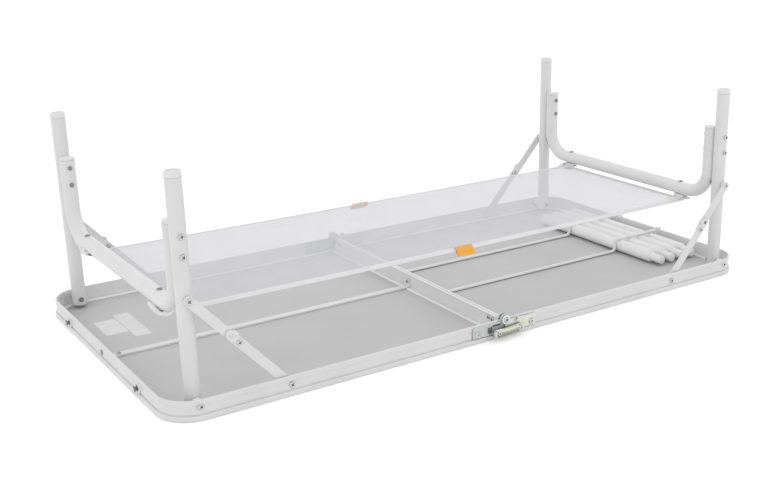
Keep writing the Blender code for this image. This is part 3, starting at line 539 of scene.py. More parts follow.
def rounded(x0, y0, x1, y1, radius):
    """A rectangle's outline with rounded corners."""
    corners = ((x1 - radius, y1 - radius, 0), (x0 + radius, y1 - radius, 90),
               (x0 + radius, y0 + radius, 180), (x1 - radius, y0 + radius, 270))
    outline = []
    for x, y, start in corners:
        for i in range(5):
            angle = math.radians(start + 22.5 * i)
            outline.append((x + radius * math.cos(angle), y + radius * math.sin(angle)))
    return outline


# Legs, stretchers and braces

# Heads and rivets are (radius, height), nuts (distance from axis to flats, height),
# washers (inner radius, outer radius, height)
HEAD_SINK = 0.0006
WASHER_SINK = 0.0004
ARM_BOLT_REACHES = (0.2545, 0.2240)
ARM_BOLT = (0.0047, 0.0028)
ARM_WASHER = (0.003, 0.0057, 0.0010)
ARM_NUT = (0.0036, 0.0030)
ARM_CAP_HEIGHT = 0.0042
LEG_NUT = (0.0042, 0.0034)
SEAL_REACH = 0.345
SEAL_RINGS = (
    (0.0087, 0.0), (0.0087, 0.0030), (0.0080, 0.0026), (0.0074, 0.0014), (0.0030, 0.0012), (0.0022, 0.0005),
)
HOOK_RIVET = (0.0048, 0.0020)
HOOK_RIVET_SINK = 0.0004
BRACE_BOLT = (0.0052, 0.0005)
BRACE_BOLT_TURN = 0.9
BRACE_WASHER = (0.0051, 0.0066, 0.0003)
# Painted shade in the brace bolt's recess: a dark cross of (arm, half width), between these heights
BRACE_RECESS = (0.0030, 0.0010)
BRACE_RECESS_HEIGHTS = (0.00012, 0.00046)
PIVOT_SCREW = (0.0048, 0.0030)
PIVOT_WASHER = (0.003, 0.005856, 0.0009)
PIVOT_SINKS = {"leg": 0.0009, "brace": 0.0004}
KNEE_SCREW = (0.0048, 0.0019)
KNEE_NUT = (0.0040, 0.0028)
STOP_RIVET = (0.0032, 0.0016)
STOP_SINK = 0.0002


def stretcher_bolts(half, side):
    """The bolts through the leg into the stretcher's arm, with their washers and nuts."""
    sign = SIDES[side]
    body = f"{half}_legs"
    name = f"{half}_{side}"
    out = (0, sign, 0)
    seat = sign * (LEG_Y + LEG_RADIUS - HEAD_SINK)
    back = sign * (ARM_Y - TUBE_RADIUS + HEAD_SINK)
    for number, reach in enumerate(ARM_BOLT_REACHES, 1):
        x, z = on_leg(half, reach)
        head = screw((x, seat, z), out, *ARM_BOLT, turn=0.3 + number)
        washer = ring((x, seat - sign * WASHER_SINK, z), out, *ARM_WASHER)
        piece(f"{name}_stretcher_bolt_{number}", joined([head, washer]), bright_steel, body)
        shape = nut((x, back, z), (0, -sign, 0), *ARM_NUT)
        piece(f"{name}_stretcher_nut_{number}", shape, nut_steel, body)


def brace_bolt(half, side):
    """The upper arm's bolt at the leg, with a dark cross of painted shade in its recess. Its head is flat,
    because the folded lower arm passes over it.
    """
    sign = SIDES[side]
    body = f"{half}_upper_braces"
    name = f"{half}_{side}"
    out = (0, sign, 0)
    x, z = on_leg(half, BRACE_LEG_REACH)
    seat = (x, sign * UPPER_ARM_OUT, z)
    shape = joined([screw(seat, out, *BRACE_BOLT, turn=BRACE_BOLT_TURN), ring(seat, out, *BRACE_WASHER)])
    piece(f"{name}_brace_bolt", shape, bright_steel, body)
    # A dark cross in the head's recess: painted shade
    slots = cross(*BRACE_RECESS, BRACE_BOLT_TURN)
    shape = loft(turned(seat, out, [(slots, height) for height in BRACE_RECESS_HEIGHTS], count=32))
    piece(f"{name}_brace_bolt_recess_shade", shape, shade_grey, body)


def leg_fittings(half, side):
    """The leg's nuts, the stretcher's end cap and hook rivet, and the seal in the leg's socket."""
    sign = SIDES[side]
    way = HALVES[half]
    body = f"{half}_legs"
    name = f"{half}_{side}"
    inner = sign * (LEG_Y - LEG_RADIUS + HEAD_SINK)
    for label, reach in (("brace", BRACE_LEG_REACH), ("pivot", 0.0)):
        x, z = on_leg(half, reach)
        piece(f"{name}_{label}_nut", nut((x, inner, z), (0, -sign, 0), *LEG_NUT), nut_steel, body)
    tilt = (way * math.sin(LEG_SPLAY), 0, math.cos(LEG_SPLAY))
    x, z = on_leg(half, ARM_END)
    shape = cap((x, sign * ARM_Y, z), tilt, TUBE_RADIUS, ARM_CAP_HEIGHT)
    piece(f"{name}_stretcher_cap", shape, moulded, body)
    x, z = on_leg(half, SEAL_REACH)
    shape = loft(turned((x, sign * LEG_Y, z), tilt, SEAL_RINGS, count=28))
    piece(f"{name}_socket_seal", shape, moulded, body)
    top = (way * CROSS_X, sign * HOOK_Y, CROSS_Z + TUBE_RADIUS - HOOK_RIVET_SINK)
    piece(f"{name}_hook_rivet", rivet(top, (0, 0, 1), *HOOK_RIVET), nut_steel, body)


def wall_screws(half, side):
    """The screws through the side wall at the leg and brace pivots."""
    sign = SIDES[side]
    out = (0, sign, 0)
    for label, (x, z) in (("leg", LEG_PIVOT), ("brace", BRACE_PIVOT)):
        seat = (HALVES[half] * x, sign * (WALL_Y - PIVOT_SINKS[label]), z)
        shape = joined([screw(seat, out, *PIVOT_SCREW, turn=0.6), ring(seat, out, *PIVOT_WASHER)])
        piece(f"{half}_{side}_{label}_pivot_screw", shape, bright_steel, f"{half}_half")


def knee_fittings(half, side):
    """The screw and stop rivet on the lower arm at the brace's knee, and the nut on the upper arm."""
    sign = SIDES[side]
    way = HALVES[half]
    lower = f"{half}_lower_braces"
    name = f"{half}_{side}"
    out = (0, sign, 0)
    x, z = KNEE
    head = screw((way * x, sign * LOWER_ARM_OUT, z), out, *KNEE_SCREW, turn=1.1)
    piece(f"{name}_knee_screw", head, bright_steel, lower)
    stop_x, stop_z = KNEE_STOP
    shape = rivet((way * stop_x, sign * (LOWER_ARM_OUT - STOP_SINK), stop_z), out, *STOP_RIVET)
    piece(f"{name}_stop_rivet", shape, enamel if half == "left" else nut_steel, lower)
    shape = nut((way * x, sign * UPPER_ARM_IN, z), (0, -sign, 0), *KNEE_NUT)
    piece(f"{name}_knee_nut", shape, bright_steel, f"{half}_upper_braces")


# Hinges and latches

CROWN_BACK = 0.3110
CROWN_FRONT = 0.3116
# Stations along the lever: x, low edge, high edge and height of the crest
CROWN_STATIONS = (
    (-0.0268, 0.0095, 0.0190, 0.0004),
    (-0.0255, 0.0072, 0.0212, 0.0030),
    (-0.0215, 0.0064, 0.0216, 0.0056),
    (-0.0040, 0.0076, 0.0208, 0.0062),
    (0.0120, 0.0086, 0.0203, 0.0052),
    (0.0190, 0.0090, 0.0200, 0.0034),
    (0.0290, 0.0090, 0.0199, 0.0026),
    (0.0325, 0.0105, 0.0185, 0.0016),
    (0.0338, 0.0125, 0.0165, 0.0004),
)
# Profile across the lever: share of the way from the low edge and share of the crest's height
CROWN_PROFILE = (
    (0.0, 0.0), (0.06, 0.16), (0.24, 0.40), (0.44, 0.66), (0.62, 0.88), (0.74, 0.99), (0.82, 1.0),
    (0.90, 0.88), (0.96, 0.58), (1.0, 0.0),
)
CURL_CENTRE = (-0.0272, 0.3140, 0.0140)
CURL_RADIUS = 0.0030
CURL_WIDTH = 0.0130
CURL_THICKNESS = 0.0012
LEVER_RIVET_PLACE = (-0.0208, 0.3160, 0.0150)
LEVER_RIVET = (0.0042, 0.0022)
SLOT_FACE = 0.3031
SLOT_BOX = (-0.0362, 0.0140, -0.0268, 0.0252)
SLOT_CORNER = 0.0024
# Rings of the keyhole: growth about its middle and height above the plate
SLOT_LIP = ((1.0, 0.0), (1.14, 0.0), (1.12, 0.0005), (1.02, 0.0005))
SLOT_SHADE = ((1.0, 0.0), (0.99, 0.00015))
GAP_BOX = (-0.0262, 0.0243, -0.0085, 0.0272)
GAP_CORNER = 0.0013
GAP_HEIGHT = 0.00025
BOSS_PLACE = (0.0230, 0.3035, 0.0304)
BOSS_RINGS = ((0.0058, 0.0), (0.0058, 0.0017), (0.0052, 0.0021), (0.0036, 0.0021))
# Rivets of the hinge: name, place, radius and body
HINGE_RIVETS = (
    ("left_plate_rivet", (-0.057, LEFT_PLATE_Y, 0.0174), 0.0050, "left_half"),
    ("right_plate_rivet", (0.057, RIGHT_PLATE_Y, 0.0174), 0.0050, "right_half"),
    ("right_upper_rivet", (0.0230, 0.3055, 0.0308), 0.0034, "right_half"),
    ("latch_rivet", (0.027, 0.3137, 0.0145), 0.0046, "latch"),
)
HINGE_RIVET_HEIGHT = 0.0022
HINGE_WASHER_HEIGHT = 0.0006
HINGE_WASHER_GROWTH = 1.3
PIN_RING_Y = 0.3070
PIN_RING = (0.0050, 0.0084, 0.0014)
PIN_END_Y = 0.3068
PIN_END = (0.0051, 0.0030)
RAIL_SCREW_PLACES = ((0.2610, 0.0242), (0.2715, 0.0229))
RAIL_SCREW = (0.0040, 0.0022)


def latch_cover(sign):
    """The pressed crown of the latch lever: broad at its free end, with a crest along it."""
    rings = []
    for x, low, high, crest in CROWN_STATIONS:
        section = [Vector((x, sign * CROWN_BACK, high)), Vector((x, sign * CROWN_BACK, low))]
        for share, rise in CROWN_PROFILE:
            place = (x, sign * (CROWN_FRONT + crest * rise), low + (high - low) * share)
            section.append(Vector(place))
        rings.append(section)
    return loft(rings)


def latch_curl(sign):
    """The finger curl at the lever's free end."""
    x, y, z = CURL_CENTRE
    path = []
    for i in range(8):
        angle = math.radians(-70 + 40 * i)
        path.append((x + CURL_RADIUS * math.cos(angle), sign * (y + CURL_RADIUS * math.sin(angle)), z))
    return strip(path, (0, 0, CURL_WIDTH), CURL_THICKNESS)


def slot_rings(sign, steps):
    """Rings of the keyhole's outline beside the lever, grown about its middle."""
    x0, z0, x1, z1 = SLOT_BOX
    middle_x = (x0 + x1) / 2
    middle_z = (z0 + z1) / 2
    rings = []
    for grow, height in steps:
        made = []
        for x, z in rounded(*SLOT_BOX, SLOT_CORNER):
            grown_x = middle_x + (x - middle_x) * grow
            grown_z = middle_z + (z - middle_z) * grow
            made.append(Vector((grown_x, sign * (SLOT_FACE + height), grown_z)))
        rings.append(made)
    return rings


def latch_gap_shade(sign):
    """A thin dark sheet on the left plate above the lever: painted shade where the lever stands off the
    plate.
    """
    outline = rounded(*GAP_BOX, GAP_CORNER)
    rings = []
    for y in (LEFT_PLATE_Y, LEFT_PLATE_Y + GAP_HEIGHT):
        rings.append([Vector((x, sign * y, z)) for x, z in outline])
    return loft(rings)


def hinge_fittings(side):
    """Rivets, screws and pressed forms of the fold hinge and its latch, and dark sheets of painted shade in
    the latch's gap and keyhole.
    """
    sign = SIDES[side]
    out = (0, sign, 0)
    latch = f"{side}_latch"
    for name, (x, y, z), radius, body in HINGE_RIVETS:
        seat = (x, sign * y, z)
        head = rivet(seat, out, radius, HINGE_RIVET_HEIGHT)
        washer = ring(seat, out, radius, radius * HINGE_WASHER_GROWTH, HINGE_WASHER_HEIGHT)
        piece(f"{side}_{name}", joined([head, washer]), bright_steel, latch if body == "latch" else body)
    x, y, z = BOSS_PLACE
    boss = loft(turned((x, sign * y, z), out, BOSS_RINGS))
    piece(f"{side}_right_plate_boss", boss, gold_zinc, "right_half")
    shape = ring((0, sign * PIN_RING_Y, HINGE_Z), out, *PIN_RING)
    piece(f"{side}_pin_ring", shape, highlight_pin_zinc, "left_half")
    shape = screw((0, sign * PIN_END_Y, HINGE_Z), out, *PIN_END, turn=0.2)
    piece(f"{side}_pin_end", shape, bright_steel, "left_half")
    piece(f"{side}_latch_cover", latch_cover(sign), lever_zinc, latch)
    piece(f"{side}_latch_curl", latch_curl(sign), lever_zinc, latch)
    x, y, z = LEVER_RIVET_PLACE
    piece(f"{side}_latch_end_rivet", rivet((x, sign * y, z), out, *LEVER_RIVET), bright_steel, latch)
    piece(f"{side}_latch_gap_shade", latch_gap_shade(sign), shade_black, "left_half")
    lip = loft(slot_rings(sign, SLOT_LIP), closed=True)
    piece(f"{side}_latch_slot_lip", lip, blue_zinc, "left_half")
    # The keyhole's hollow is a thin dark sheet on the plate: painted shade
    piece(f"{side}_latch_slot", loft(slot_rings(sign, SLOT_SHADE)), shade_grey, "left_half")


def rail_screws(half, side):
    """Two small screws at the end of the rail, beside the hinge."""
    way = HALVES[half]
    for number, (y, z) in enumerate(RAIL_SCREW_PLACES, 1):
        head = screw((way * RAIL_FACE, SIDES[side] * y, z), (way, 0, 0), *RAIL_SCREW, turn=0.5 + number)
        piece(f"{half}_{side}_rail_screw_{number}", head, bright_steel, f"{half}_half")


# Net

NET_Z = 0.1340
NET_END = 0.5475
NET_SIDE = 0.178
NET_SAG = 0.0039
SAG_WIDTH = 0.19
YARN_PITCH = 0.0015
YARN_WIDTH = 0.00068
YARN_THICKNESS = 0.00026
YARN_START = 0.0004
HEM_SPAN = (0.0005, 0.553)
HEM_RISE = 0.0008
HEM_SECTIONS = {
    "near": ((-0.001, 0.0002), (0.0012, 0.0), (0.0040, -0.0014), (0.0066, -0.0044), (0.0064, -0.0053),
             (0.0034, -0.0024), (0.0006, -0.0010), (-0.001, -0.0008)),
    "far": ((-0.001, 0.0002), (0.0012, 0.0002), (0.0036, -0.0001), (0.0066, -0.0009), (0.0064, -0.0019),
            (0.0034, -0.0012), (0.0006, -0.0010), (-0.001, -0.0008)),
}
END_REACH = 0.184
END_RISE = 0.0006
END_SECTION = (
    (-0.008, 0.0), (-0.0075, 0.0006), (0.0, 0.0006), (0.0006, 0.0), (0.0, -0.0011), (-0.0075, -0.0011),
)
TONGUE_Y = 0.1735
TONGUE_WIDTH = 0.017
TONGUE_THICKNESS = 0.0012
TONGUE_PATH = (
    (0.5245, 0.1343), (0.5385, 0.1345), (0.5490, 0.1356), (0.5570, 0.1378), (0.5620, 0.1388),
    (0.5638, 0.1374), (0.5615, 0.1345), (0.5560, 0.1318), (0.5480, 0.1306), (0.5390, 0.1300),
)
# Straps of webbing as pairs of edge points, written for the right far corner and mirrored to the others
STRAP_THICKNESS = 0.0014
LOOP_EDGES = (
    ((0.5590, 0.1945, 0.1402), (0.5618, 0.1945, 0.1346)),
    ((0.5590, 0.2060, 0.1412), (0.5620, 0.2055, 0.1356)),
    ((0.5590, 0.2170, 0.1444), (0.5620, 0.2168, 0.1388)),
    ((0.5590, 0.2272, 0.1494), (0.5616, 0.2283, 0.1440)),
    ((0.5585, 0.2346, 0.1548), (0.5608, 0.2366, 0.1502)),
    ((0.5575, 0.2392, 0.1597), (0.5588, 0.2415, 0.1560)),
)
TAIL_EDGES = (
    ((0.5625, 0.1480, 0.1430), (0.5640, 0.1470, 0.1408)),
    ((0.5668, 0.1560, 0.1462), (0.5696, 0.1535, 0.1412)),
    ((0.5668, 0.1680, 0.1452), (0.5700, 0.1660, 0.1392)),
    ((0.5660, 0.1800, 0.1424), (0.5690, 0.1780, 0.1360)),
    ((0.5638, 0.1890, 0.1394), (0.5666, 0.1872, 0.1330)),
    ((0.5600, 0.1940, 0.1374), (0.5626, 0.1928, 0.1318)),
)
CORNER_EDGES = {
    "near": (
        ((0.5440, 0.1760, 0.1346), (0.5640, 0.1720, 0.1356)),
        ((0.5470, 0.1850, 0.1337), (0.5645, 0.1800, 0.1354)),
        ((0.5530, 0.1905, 0.1332), (0.5635, 0.1868, 0.1348)),
        ((0.5590, 0.1938, 0.1334), (0.5612, 0.1930, 0.1340)),
    ),
    "far": (
        ((0.5031, 0.1740, 0.1350), (0.5015, 0.1690, 0.1346)),
        ((0.5198, 0.1791, 0.1366), (0.5170, 0.1720, 0.1346)),
        ((0.5370, 0.1854, 0.1384), (0.5330, 0.1760, 0.1347)),
        ((0.5500, 0.1880, 0.1396), (0.5470, 0.1790, 0.1348)),
        ((0.5610, 0.1860, 0.1396), (0.5580, 0.1780, 0.1348)),
        ((0.5655, 0.1760, 0.1386), (0.5610, 0.1720, 0.1348)),
        ((0.5608, 0.1580, 0.1366), (0.5570, 0.1560, 0.1346)),
    ),
}
EYELET_PLACE = (0.5420, 0.1832, 0.1380)
EYELET_AXIS = (-0.45, -0.65, 0.6)
EYELET = (0.0023, 0.0012)
TAG_WIDTH = 0.0186
TAG_OVERLAP = 0.0004
TAG_FRONT_THICKNESS = 0.0011
TAG_BACK_THICKNESS = 0.0010
TAG_DROP = ((0.1828, 0.1325), (0.1862, 0.1290), (0.1895, 0.1245), (0.1922, 0.1206))
TAG_FRONTS = {
    "near": ((0.1768, 0.1336), (0.1796, 0.1337), *TAG_DROP),
    "far": ((0.1812, 0.1337), *TAG_DROP),
}
TAG_BACK = ((0.1905, 0.1202), (0.1868, 0.1242), (0.1838, 0.1262), (0.1808, 0.1288), (0.1778, 0.1302))


def net_height(x, y):
    """The hung net's height: it sags a little between its hooks."""
    along = 1 - (x / NET_END) ** 2
    across = 1 - 0.5 * (y / SAG_WIDTH) ** 2
    return NET_Z - NET_SAG * along * across


def yarn_along(places):
    """One flat yarn through the places, as a closed tube of diamond section."""
    first = Vector(places[0])
    last = Vector(places[-1])
    side = (last - first).cross(Vector((0, 0, 1))).normalized() * YARN_WIDTH / 2
    up = Vector((0, 0, YARN_THICKNESS / 2))
    rings = [[p + side, p + up, p - side, p - up] for p in (Vector(q) for q in places)]
    return loft(rings)


def weave(half):
    """The half's net as crossed yarns."""
    way = HALVES[half]
    length = NET_END - YARN_START
    lift = YARN_THICKNESS * 0.45
    shapes = []
    rows = int(2 * NET_SIDE / YARN_PITCH)
    for i in range(rows + 1):
        y = -NET_SIDE + 2 * NET_SIDE * i / rows
        line = []
        for j in range(7):
            x = way * (YARN_START + length * j / 6)
            line.append((x, y, net_height(x, y) + lift))
        shapes.append(yarn_along(line))
    columns = int(length / YARN_PITCH)
    for i in range(columns + 1):
        x = way * (YARN_START + length * i / columns)
        line = []
        for j in range(5):
            y = -NET_SIDE + 2 * NET_SIDE * j / 4
            line.append((x, y, net_height(x, y) - lift))
        shapes.append(yarn_along(line))
    return joined(shapes)


def soft(item):
    """Gives a piece of the net a mesh of its own."""
    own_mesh(item)


def hem_band(half, side):
    """The webbing along one long edge: turned down at the near side, nearly level at the far side."""
    sign = SIDES[side]
    start, end = HEM_SPAN
    rings = []
    for j in range(9):
        x = HALVES[half] * (start + (end - start) * j / 8)
        z = net_height(x, sign * NET_SIDE) + HEM_RISE
        section = [(x, sign * (NET_SIDE + across), z + rise) for across, rise in HEM_SECTIONS[side]]
        rings.append([Vector(place) for place in section])
    return loft(rings)


def end_band(half):
    """The webbing across the net's end."""
    way = HALVES[half]
    rings = []
    for j in range(9):
        y = -END_REACH + 2 * END_REACH * j / 8
        z = net_height(way * NET_END, y) + END_RISE
        rings.append([Vector((way * (NET_END + along), y, z + rise)) for along, rise in END_SECTION])
    return loft(rings)


def corner_tongue(half, side):
    """The webbing's end past the corner, folded back to a loop over the hook."""
    path = [(HALVES[half] * x, SIDES[side] * TONGUE_Y, z) for x, z in TONGUE_PATH]
    return strip(path, (0, TONGUE_WIDTH, 0), TONGUE_THICKNESS)


def corner_strap(half, side, edges):
    """A strap of webbing at the net's corner, from its edges in the right far corner."""
    way = HALVES[half]
    sign = SIDES[side]
    return band([[(way * x, sign * y, z) for x, y, z in pair] for pair in edges], STRAP_THICKNESS)


def tag(half, side):
    """Half of the cloth tag that is folded over the long edge at the middle."""
    centre = HALVES[half] * (TAG_WIDTH / 2 - TAG_OVERLAP)
    flaps = []
    for route, thickness in ((TAG_FRONTS[side], TAG_FRONT_THICKNESS), (TAG_BACK, TAG_BACK_THICKNESS)):
        path = [(centre, SIDES[side] * y, z) for y, z in route]
        flaps.append(strip(path, (TAG_WIDTH, 0, 0), thickness))
    return joined(flaps)


def hang_net(half):
    """The half's net with its webbing, corner straps, eyelet and tags."""
    body = f"{half}_half"
    legs = f"{half}_legs"
    cloth = piece(f"{half}_net_weave", weave(half), yarn, body, sharp=60)
    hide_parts(f"{half}_net")
    extras = [piece(f"{half}_net_end_band", end_band(half), grey_webbing, body, sharp=50)]
    for side in SIDES:
        name = f"{half}_{side}_net"
        extras.append(piece(f"{name}_band", hem_band(half, side), webbing, body, sharp=50))
        extras.append(piece(f"{name}_tongue", corner_tongue(half, side), webbing, body, sharp=50))
        extras.append(piece(f"{name}_tag", tag(half, side), orange_cloth, body, sharp=50))
        if half == "left":
            piece(f"{name}_loop", corner_strap(half, side, LOOP_EDGES), webbing, legs, sharp=50)
            piece(f"{name}_tail", corner_strap(half, side, TAIL_EDGES), webbing, legs, sharp=50)
        else:
            shape = corner_strap(half, side, CORNER_EDGES[side])
            extras.append(piece(f"{name}_corner", shape, webbing, body, sharp=50))
    if half == "right":
        eyelet = rivet(EYELET_PLACE, EYELET_AXIS, *EYELET)
        extras.append(piece(f"{half}_far_net_eyelet", eyelet, nut_steel, body))
    for item in (cloth, *extras):
        soft(item)
    cloth.visible_shadow = False
    cloth.visible_diffuse = False


# Ledges, boards and ends

LEDGE_X = 0.588
LEDGE_Y = 0.288
LEDGE_BEND = 0.043
LEDGE_START = 0.0135
RAIL_LEDGE = (0.0125, 0.2855)
RAIL_LIP_REACH = 0.2865
STIFFENER_EDGE = 0.0085
WIRE_EDGES = (0.0685, 0.0785)
BEAD_SECTION = (
    (-0.0004, 0.0047), (-0.0004, 0.0069), (0.0001, 0.0078), (0.0009, 0.0081), (0.0017, 0.0078),
    (0.0021, 0.0069), (0.0021, 0.0064),
)
LIP_SECTION = (
    (0.0026, 0.0325), (0.0029, 0.0331), (0.0034, 0.0332), (0.0044, 0.0332), (0.0049, 0.0329),
    (0.0050, 0.0322), (0.0045, 0.0317), (0.0027, 0.0316),
)
FILMS = {
    "film_short": (-0.5610, 0.0950, -0.5215, 0.1710),
    "film_long": (-0.5206, 0.0640, -0.4915, 0.1885),
}
FILM_CORNER = 0.002
FILM_THICKNESS = 0.00025
# Screws of the stiffener: name, place, axis and radius
STIFFENER_SCREWS = (
    ("end", (-0.5950, 0, 0.0168), (1, 0, 0), 0.0040),
    ("top", (-0.5725, 0.0005, 0.0083), (0, 0, 1), 0.0042),
    ("rail", (-0.0047, 0, 0.0172), (-1, 0, 0), 0.0040),
)
STIFFENER_SCREW_HEIGHT = 0.0020
END_RIVET_PLACE = (-0.5998, 0, 0.0172)
END_RIVET = (0.0050, 0.0016)
SPIGOT_TIP = (0.4841, -0.1976, 0.0177)
SPIGOT_PITCH = 0.0285
PLUG_RINGS = ((0.0036, 0.0), (0.0036, 0.0009), (0.0031, 0.0015), (0.0019, 0.0019), (0.0008, 0.0020))
STUD_Y = 0.17
STUD_Z = 0.0165
STUD_BASE_X = -0.5999
STUD_BASE = (0.0046, 0.0098, 0.0022)
STUD_CAP_X = -0.6085
STUD_CAP_RINGS = ((0.0049, 0.0), (0.0053, 0.0002), (0.0053, 0.0013), (0.0046, 0.0024), (0.0018, 0.0028))


def bead(route):
    """A rounded bead on the front edge of a ledge, along (x, y, x outward, y outward)."""
    rings = []
    for x, y, across_x, across_y in route:
        rings.append([Vector((x + across_x * out, y + across_y * out, z)) for out, z in BEAD_SECTION])
    return loft(rings)


def ledge_beads(half):
    """The rolled front edge of the ledge round one half, with gaps at the stiffener and the storage wires, in
    a paler white that paints its highlight.
    """
    way = HALVES[half]
    body = f"{half}_half"
    low, high = WIRE_EDGES
    stop = STIFFENER_EDGE if half == "left" else high
    bend_x = LEDGE_X - LEDGE_BEND
    bend_y = LEDGE_Y - LEDGE_BEND
    for side, sign in SIDES.items():
        route = [(way * LEDGE_START, sign * LEDGE_Y, 0, sign), (way * bend_x, sign * LEDGE_Y, 0, sign)]
        for i in range(1, 12):
            angle = math.radians(7.5 * i)
            across_x = way * math.sin(angle)
            across_y = sign * math.cos(angle)
            place = (way * bend_x + LEDGE_BEND * across_x, sign * bend_y + LEDGE_BEND * across_y)
            route.append((*place, across_x, across_y))
        route += [(way * LEDGE_X, sign * bend_y, way, 0), (way * LEDGE_X, sign * stop, way, 0)]
        piece(f"{half}_{side}_ledge_bead", bead(route), highlight_bead_white, body)
    if half == "right":
        route = [(way * LEDGE_X, -low, way, 0), (way * LEDGE_X, low, way, 0)]
        piece(f"{half}_end_ledge_bead", bead(route), highlight_bead_white, body)


def rail_trim(half):
    """The rolled front edge of the rail's ledge, with the same gaps, and the lip along the rail's top, both
    in a paler white that paints their highlights.
    """
    way = HALVES[half]
    body = f"{half}_half"
    front, reach = RAIL_LEDGE
    low, high = WIRE_EDGES
    spans = {"left": ((STIFFENER_EDGE, reach),), "right": ((high, reach), (0.0, low))}
    beads = []
    for sign in SIDES.values():
        for start, end in spans[half]:
            beads.append(bead([(way * front, sign * start, -way, 0), (way * front, sign * end, -way, 0)]))
    piece(f"{half}_rail_ledge_bead", joined(beads), highlight_bead_white, body)
    lip = [[Vector((way * x, y, z)) for x, z in LIP_SECTION] for y in (-RAIL_LIP_REACH, RAIL_LIP_REACH)]
    piece(f"{half}_rail_lip", loft(lip), highlight_bead_white, body)


def left_board_details():
    """Blank films on the left board, and the fasteners of the stiffener and the end wall."""
    body = "left_half"
    for name, box in FILMS.items():
        shape = plate(rounded(*box, FILM_CORNER), BOARD_TOP, BOARD_TOP + FILM_THICKNESS)
        piece(f"left_{name}", shape, film, body)
    for name, place, axis, radius in STIFFENER_SCREWS:
        head = screw(place, axis, radius, STIFFENER_SCREW_HEIGHT)
        piece(f"left_stiffener_{name}_screw", head, bright_steel, body)
    piece("left_end_wall_rivet", rivet(END_RIVET_PLACE, (-1, 0, 0), *END_RIVET), nut_steel, body)


def spigot_plugs():
    """The plug in the spigot of each stored leg."""
    x, y, z = SPIGOT_TIP
    for number in range(4):
        plug = loft(turned((x + SPIGOT_PITCH * number, y, z), (0, -1, 0), PLUG_RINGS))
        piece(f"extension_plug_{number + 1}", plug, moulded, "right_half")


def stud_trim(side):
    """The base ring and the end cap of a closing stud."""
    y = SIDES[side] * STUD_Y
    out = (-1, 0, 0)
    base = ring((STUD_BASE_X, y, STUD_Z), out, *STUD_BASE)
    piece(f"{side}_stud_base", base, moulded, "left_half")
    head = loft(turned((STUD_CAP_X, y, STUD_Z), out, STUD_CAP_RINGS))
    piece(f"{side}_stud_cap", head, moulded, "left_half")


# Stage, light and camera

FLOOR_REACH = 14.0
FLOOR_Z = -0.0002
FLOOR_SHADE = 0.86
FLOOR_LIFT = 0.32
WORLD_LIGHT = 0.92
# Lamps: name, place, size and power
LAMPS = (
    ("key_light", (-3.0, -1.5, 1.7), 2.8, 5.0),
    ("fill_light", (2.6, -2.2, 1.5), 2.8, 4.0),
)
AZIMUTH = math.radians(-35.0944)
ELEVATION = math.radians(15.8584)
ROLL = math.radians(-0.3927)
AIM = (0.38656, 0.37869, 0)
DISTANCE = 2.69922
LENS = 52.028
SHIFT = (-0.08974, -0.03274)


def seen_directly(tree):
    """1 for rays from the camera, mirrors and glass, else 0."""
    path = tree.nodes.new("ShaderNodeLightPath")
    value = path.outputs["Is Camera Ray"]
    for name in ("Is Glossy Ray", "Is Transmission Ray"):
        node = tree.nodes.new("ShaderNodeMath")
        node.operation = "MAXIMUM"
        tree.links.new(value, node.inputs[0])
        tree.links.new(path.outputs[name], node.inputs[1])
        value = node.outputs[0]
    return value


def floor_material():
    """A matt white that adds a little light of its own where it is seen directly."""
    material = bpy.data.materials.new("studio_floor")
    material.use_nodes = True
    tree = material.node_tree
    tree.nodes.clear()
    output = tree.nodes.new("ShaderNodeOutputMaterial")
    diffuse = tree.nodes.new("ShaderNodeBsdfDiffuse")
    diffuse.inputs["Color"].default_value = (FLOOR_SHADE, FLOOR_SHADE, FLOOR_SHADE, 1)
    lift = tree.nodes.new("ShaderNodeEmission")
    level = tree.nodes.new("ShaderNodeMath")
    level.operation = "MULTIPLY"
    level.inputs[1].default_value = FLOOR_LIFT
    add = tree.nodes.new("ShaderNodeAddShader")
    tree.links.new(seen_directly(tree), level.inputs[0])
    tree.links.new(level.outputs[0], lift.inputs["Strength"])
    tree.links.new(diffuse.outputs["BSDF"], add.inputs[0])
    tree.links.new(lift.outputs["Emission"], add.inputs[1])
    tree.links.new(add.outputs[0], output.inputs["Surface"])
    return material


def build_floor():
    """A white floor that keeps the table's shadow."""
    mesh = bpy.data.meshes.new("studio_floor")
    corners = ((-1, -1), (1, -1), (1, 1), (-1, 1))
    mesh.from_pydata([(x * FLOOR_REACH, y * FLOOR_REACH, FLOOR_Z) for x, y in corners], [], [(0, 1, 2, 3)])
    mesh.materials.append(floor_material())
    floor = bpy.data.objects.new("studio_floor", mesh)
    scene.collection.objects.link(floor)


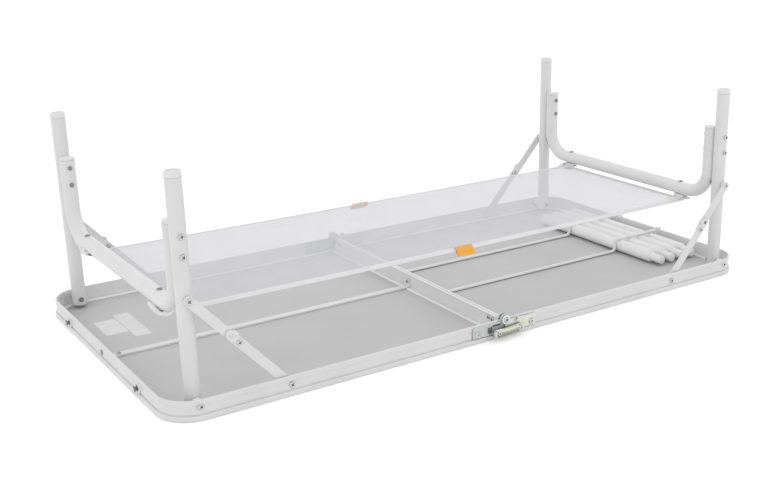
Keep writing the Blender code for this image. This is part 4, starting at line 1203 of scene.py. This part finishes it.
def build_world():
    """A white surround: plain light on the table, pure white where it is seen directly."""
    world = bpy.data.worlds.new("studio")
    scene.world = world
    world.use_nodes = True
    tree = world.node_tree
    tree.nodes.clear()
    output = tree.nodes.new("ShaderNodeOutputWorld")
    lit = tree.nodes.new("ShaderNodeBackground")
    lit.inputs["Color"].default_value = (1, 1, 1, 1)
    lit.inputs["Strength"].default_value = WORLD_LIGHT
    seen = tree.nodes.new("ShaderNodeBackground")
    seen.inputs["Color"].default_value = (1, 1, 1, 1)
    seen.inputs["Strength"].default_value = 1.0
    choose = tree.nodes.new("ShaderNodeMixShader")
    tree.links.new(seen_directly(tree), choose.inputs["Fac"])
    tree.links.new(lit.outputs["Background"], choose.inputs[1])
    tree.links.new(seen.outputs["Background"], choose.inputs[2])
    tree.links.new(choose.outputs["Shader"], output.inputs["Surface"])


def build_lamps():
    """Soft studio lamps, aimed at the table's middle."""
    for name, place, size, power in LAMPS:
        lamp = bpy.data.lights.new(name, "AREA")
        lamp.shape = "DISK"
        lamp.size = size
        lamp.energy = power
        item = bpy.data.objects.new(name, lamp)
        item.location = place
        item.rotation_euler = (-Vector(place)).to_track_quat("-Z", "Y").to_euler()
        scene.collection.objects.link(item)


def build_camera():
    """The photo's viewpoint."""
    level = math.cos(ELEVATION)
    back = Vector((math.sin(AZIMUTH) * level, -math.cos(AZIMUTH) * level, math.sin(ELEVATION)))
    right = (-back).cross(Vector((0, 0, 1))).normalized()
    up = right.cross(-back)
    across = right * math.cos(ROLL) + up * math.sin(ROLL)
    above = up * math.cos(ROLL) - right * math.sin(ROLL)
    place = Vector(AIM) + back * DISTANCE
    camera = bpy.data.cameras.new("photo_camera")
    camera.sensor_width = 36
    camera.sensor_fit = "HORIZONTAL"
    camera.lens = LENS
    camera.shift_x, camera.shift_y = SHIFT
    item = bpy.data.objects.new("photo_camera", camera)
    rows = [(across[i], above[i], back[i], place[i]) for i in range(3)]
    item.matrix_world = Matrix((*rows, (0, 0, 0, 1)))
    scene.collection.objects.link(item)
    scene.camera = item


dress_solids()
for half_name in HALVES:
    for side_name in SIDES:
        stretcher_bolts(half_name, side_name)
        brace_bolt(half_name, side_name)
        leg_fittings(half_name, side_name)
        wall_screws(half_name, side_name)
        knee_fittings(half_name, side_name)
        rail_screws(half_name, side_name)
    ledge_beads(half_name)
    rail_trim(half_name)
    hang_net(half_name)
for side_name in SIDES:
    hinge_fittings(side_name)
left_board_details()
spigot_plugs()
for side_name in SIDES:
    stud_trim(side_name)
build_floor()
build_world()
build_lamps()
build_camera()
scene.view_settings.view_transform = "Standard"

bpy.context.view_layer.update()
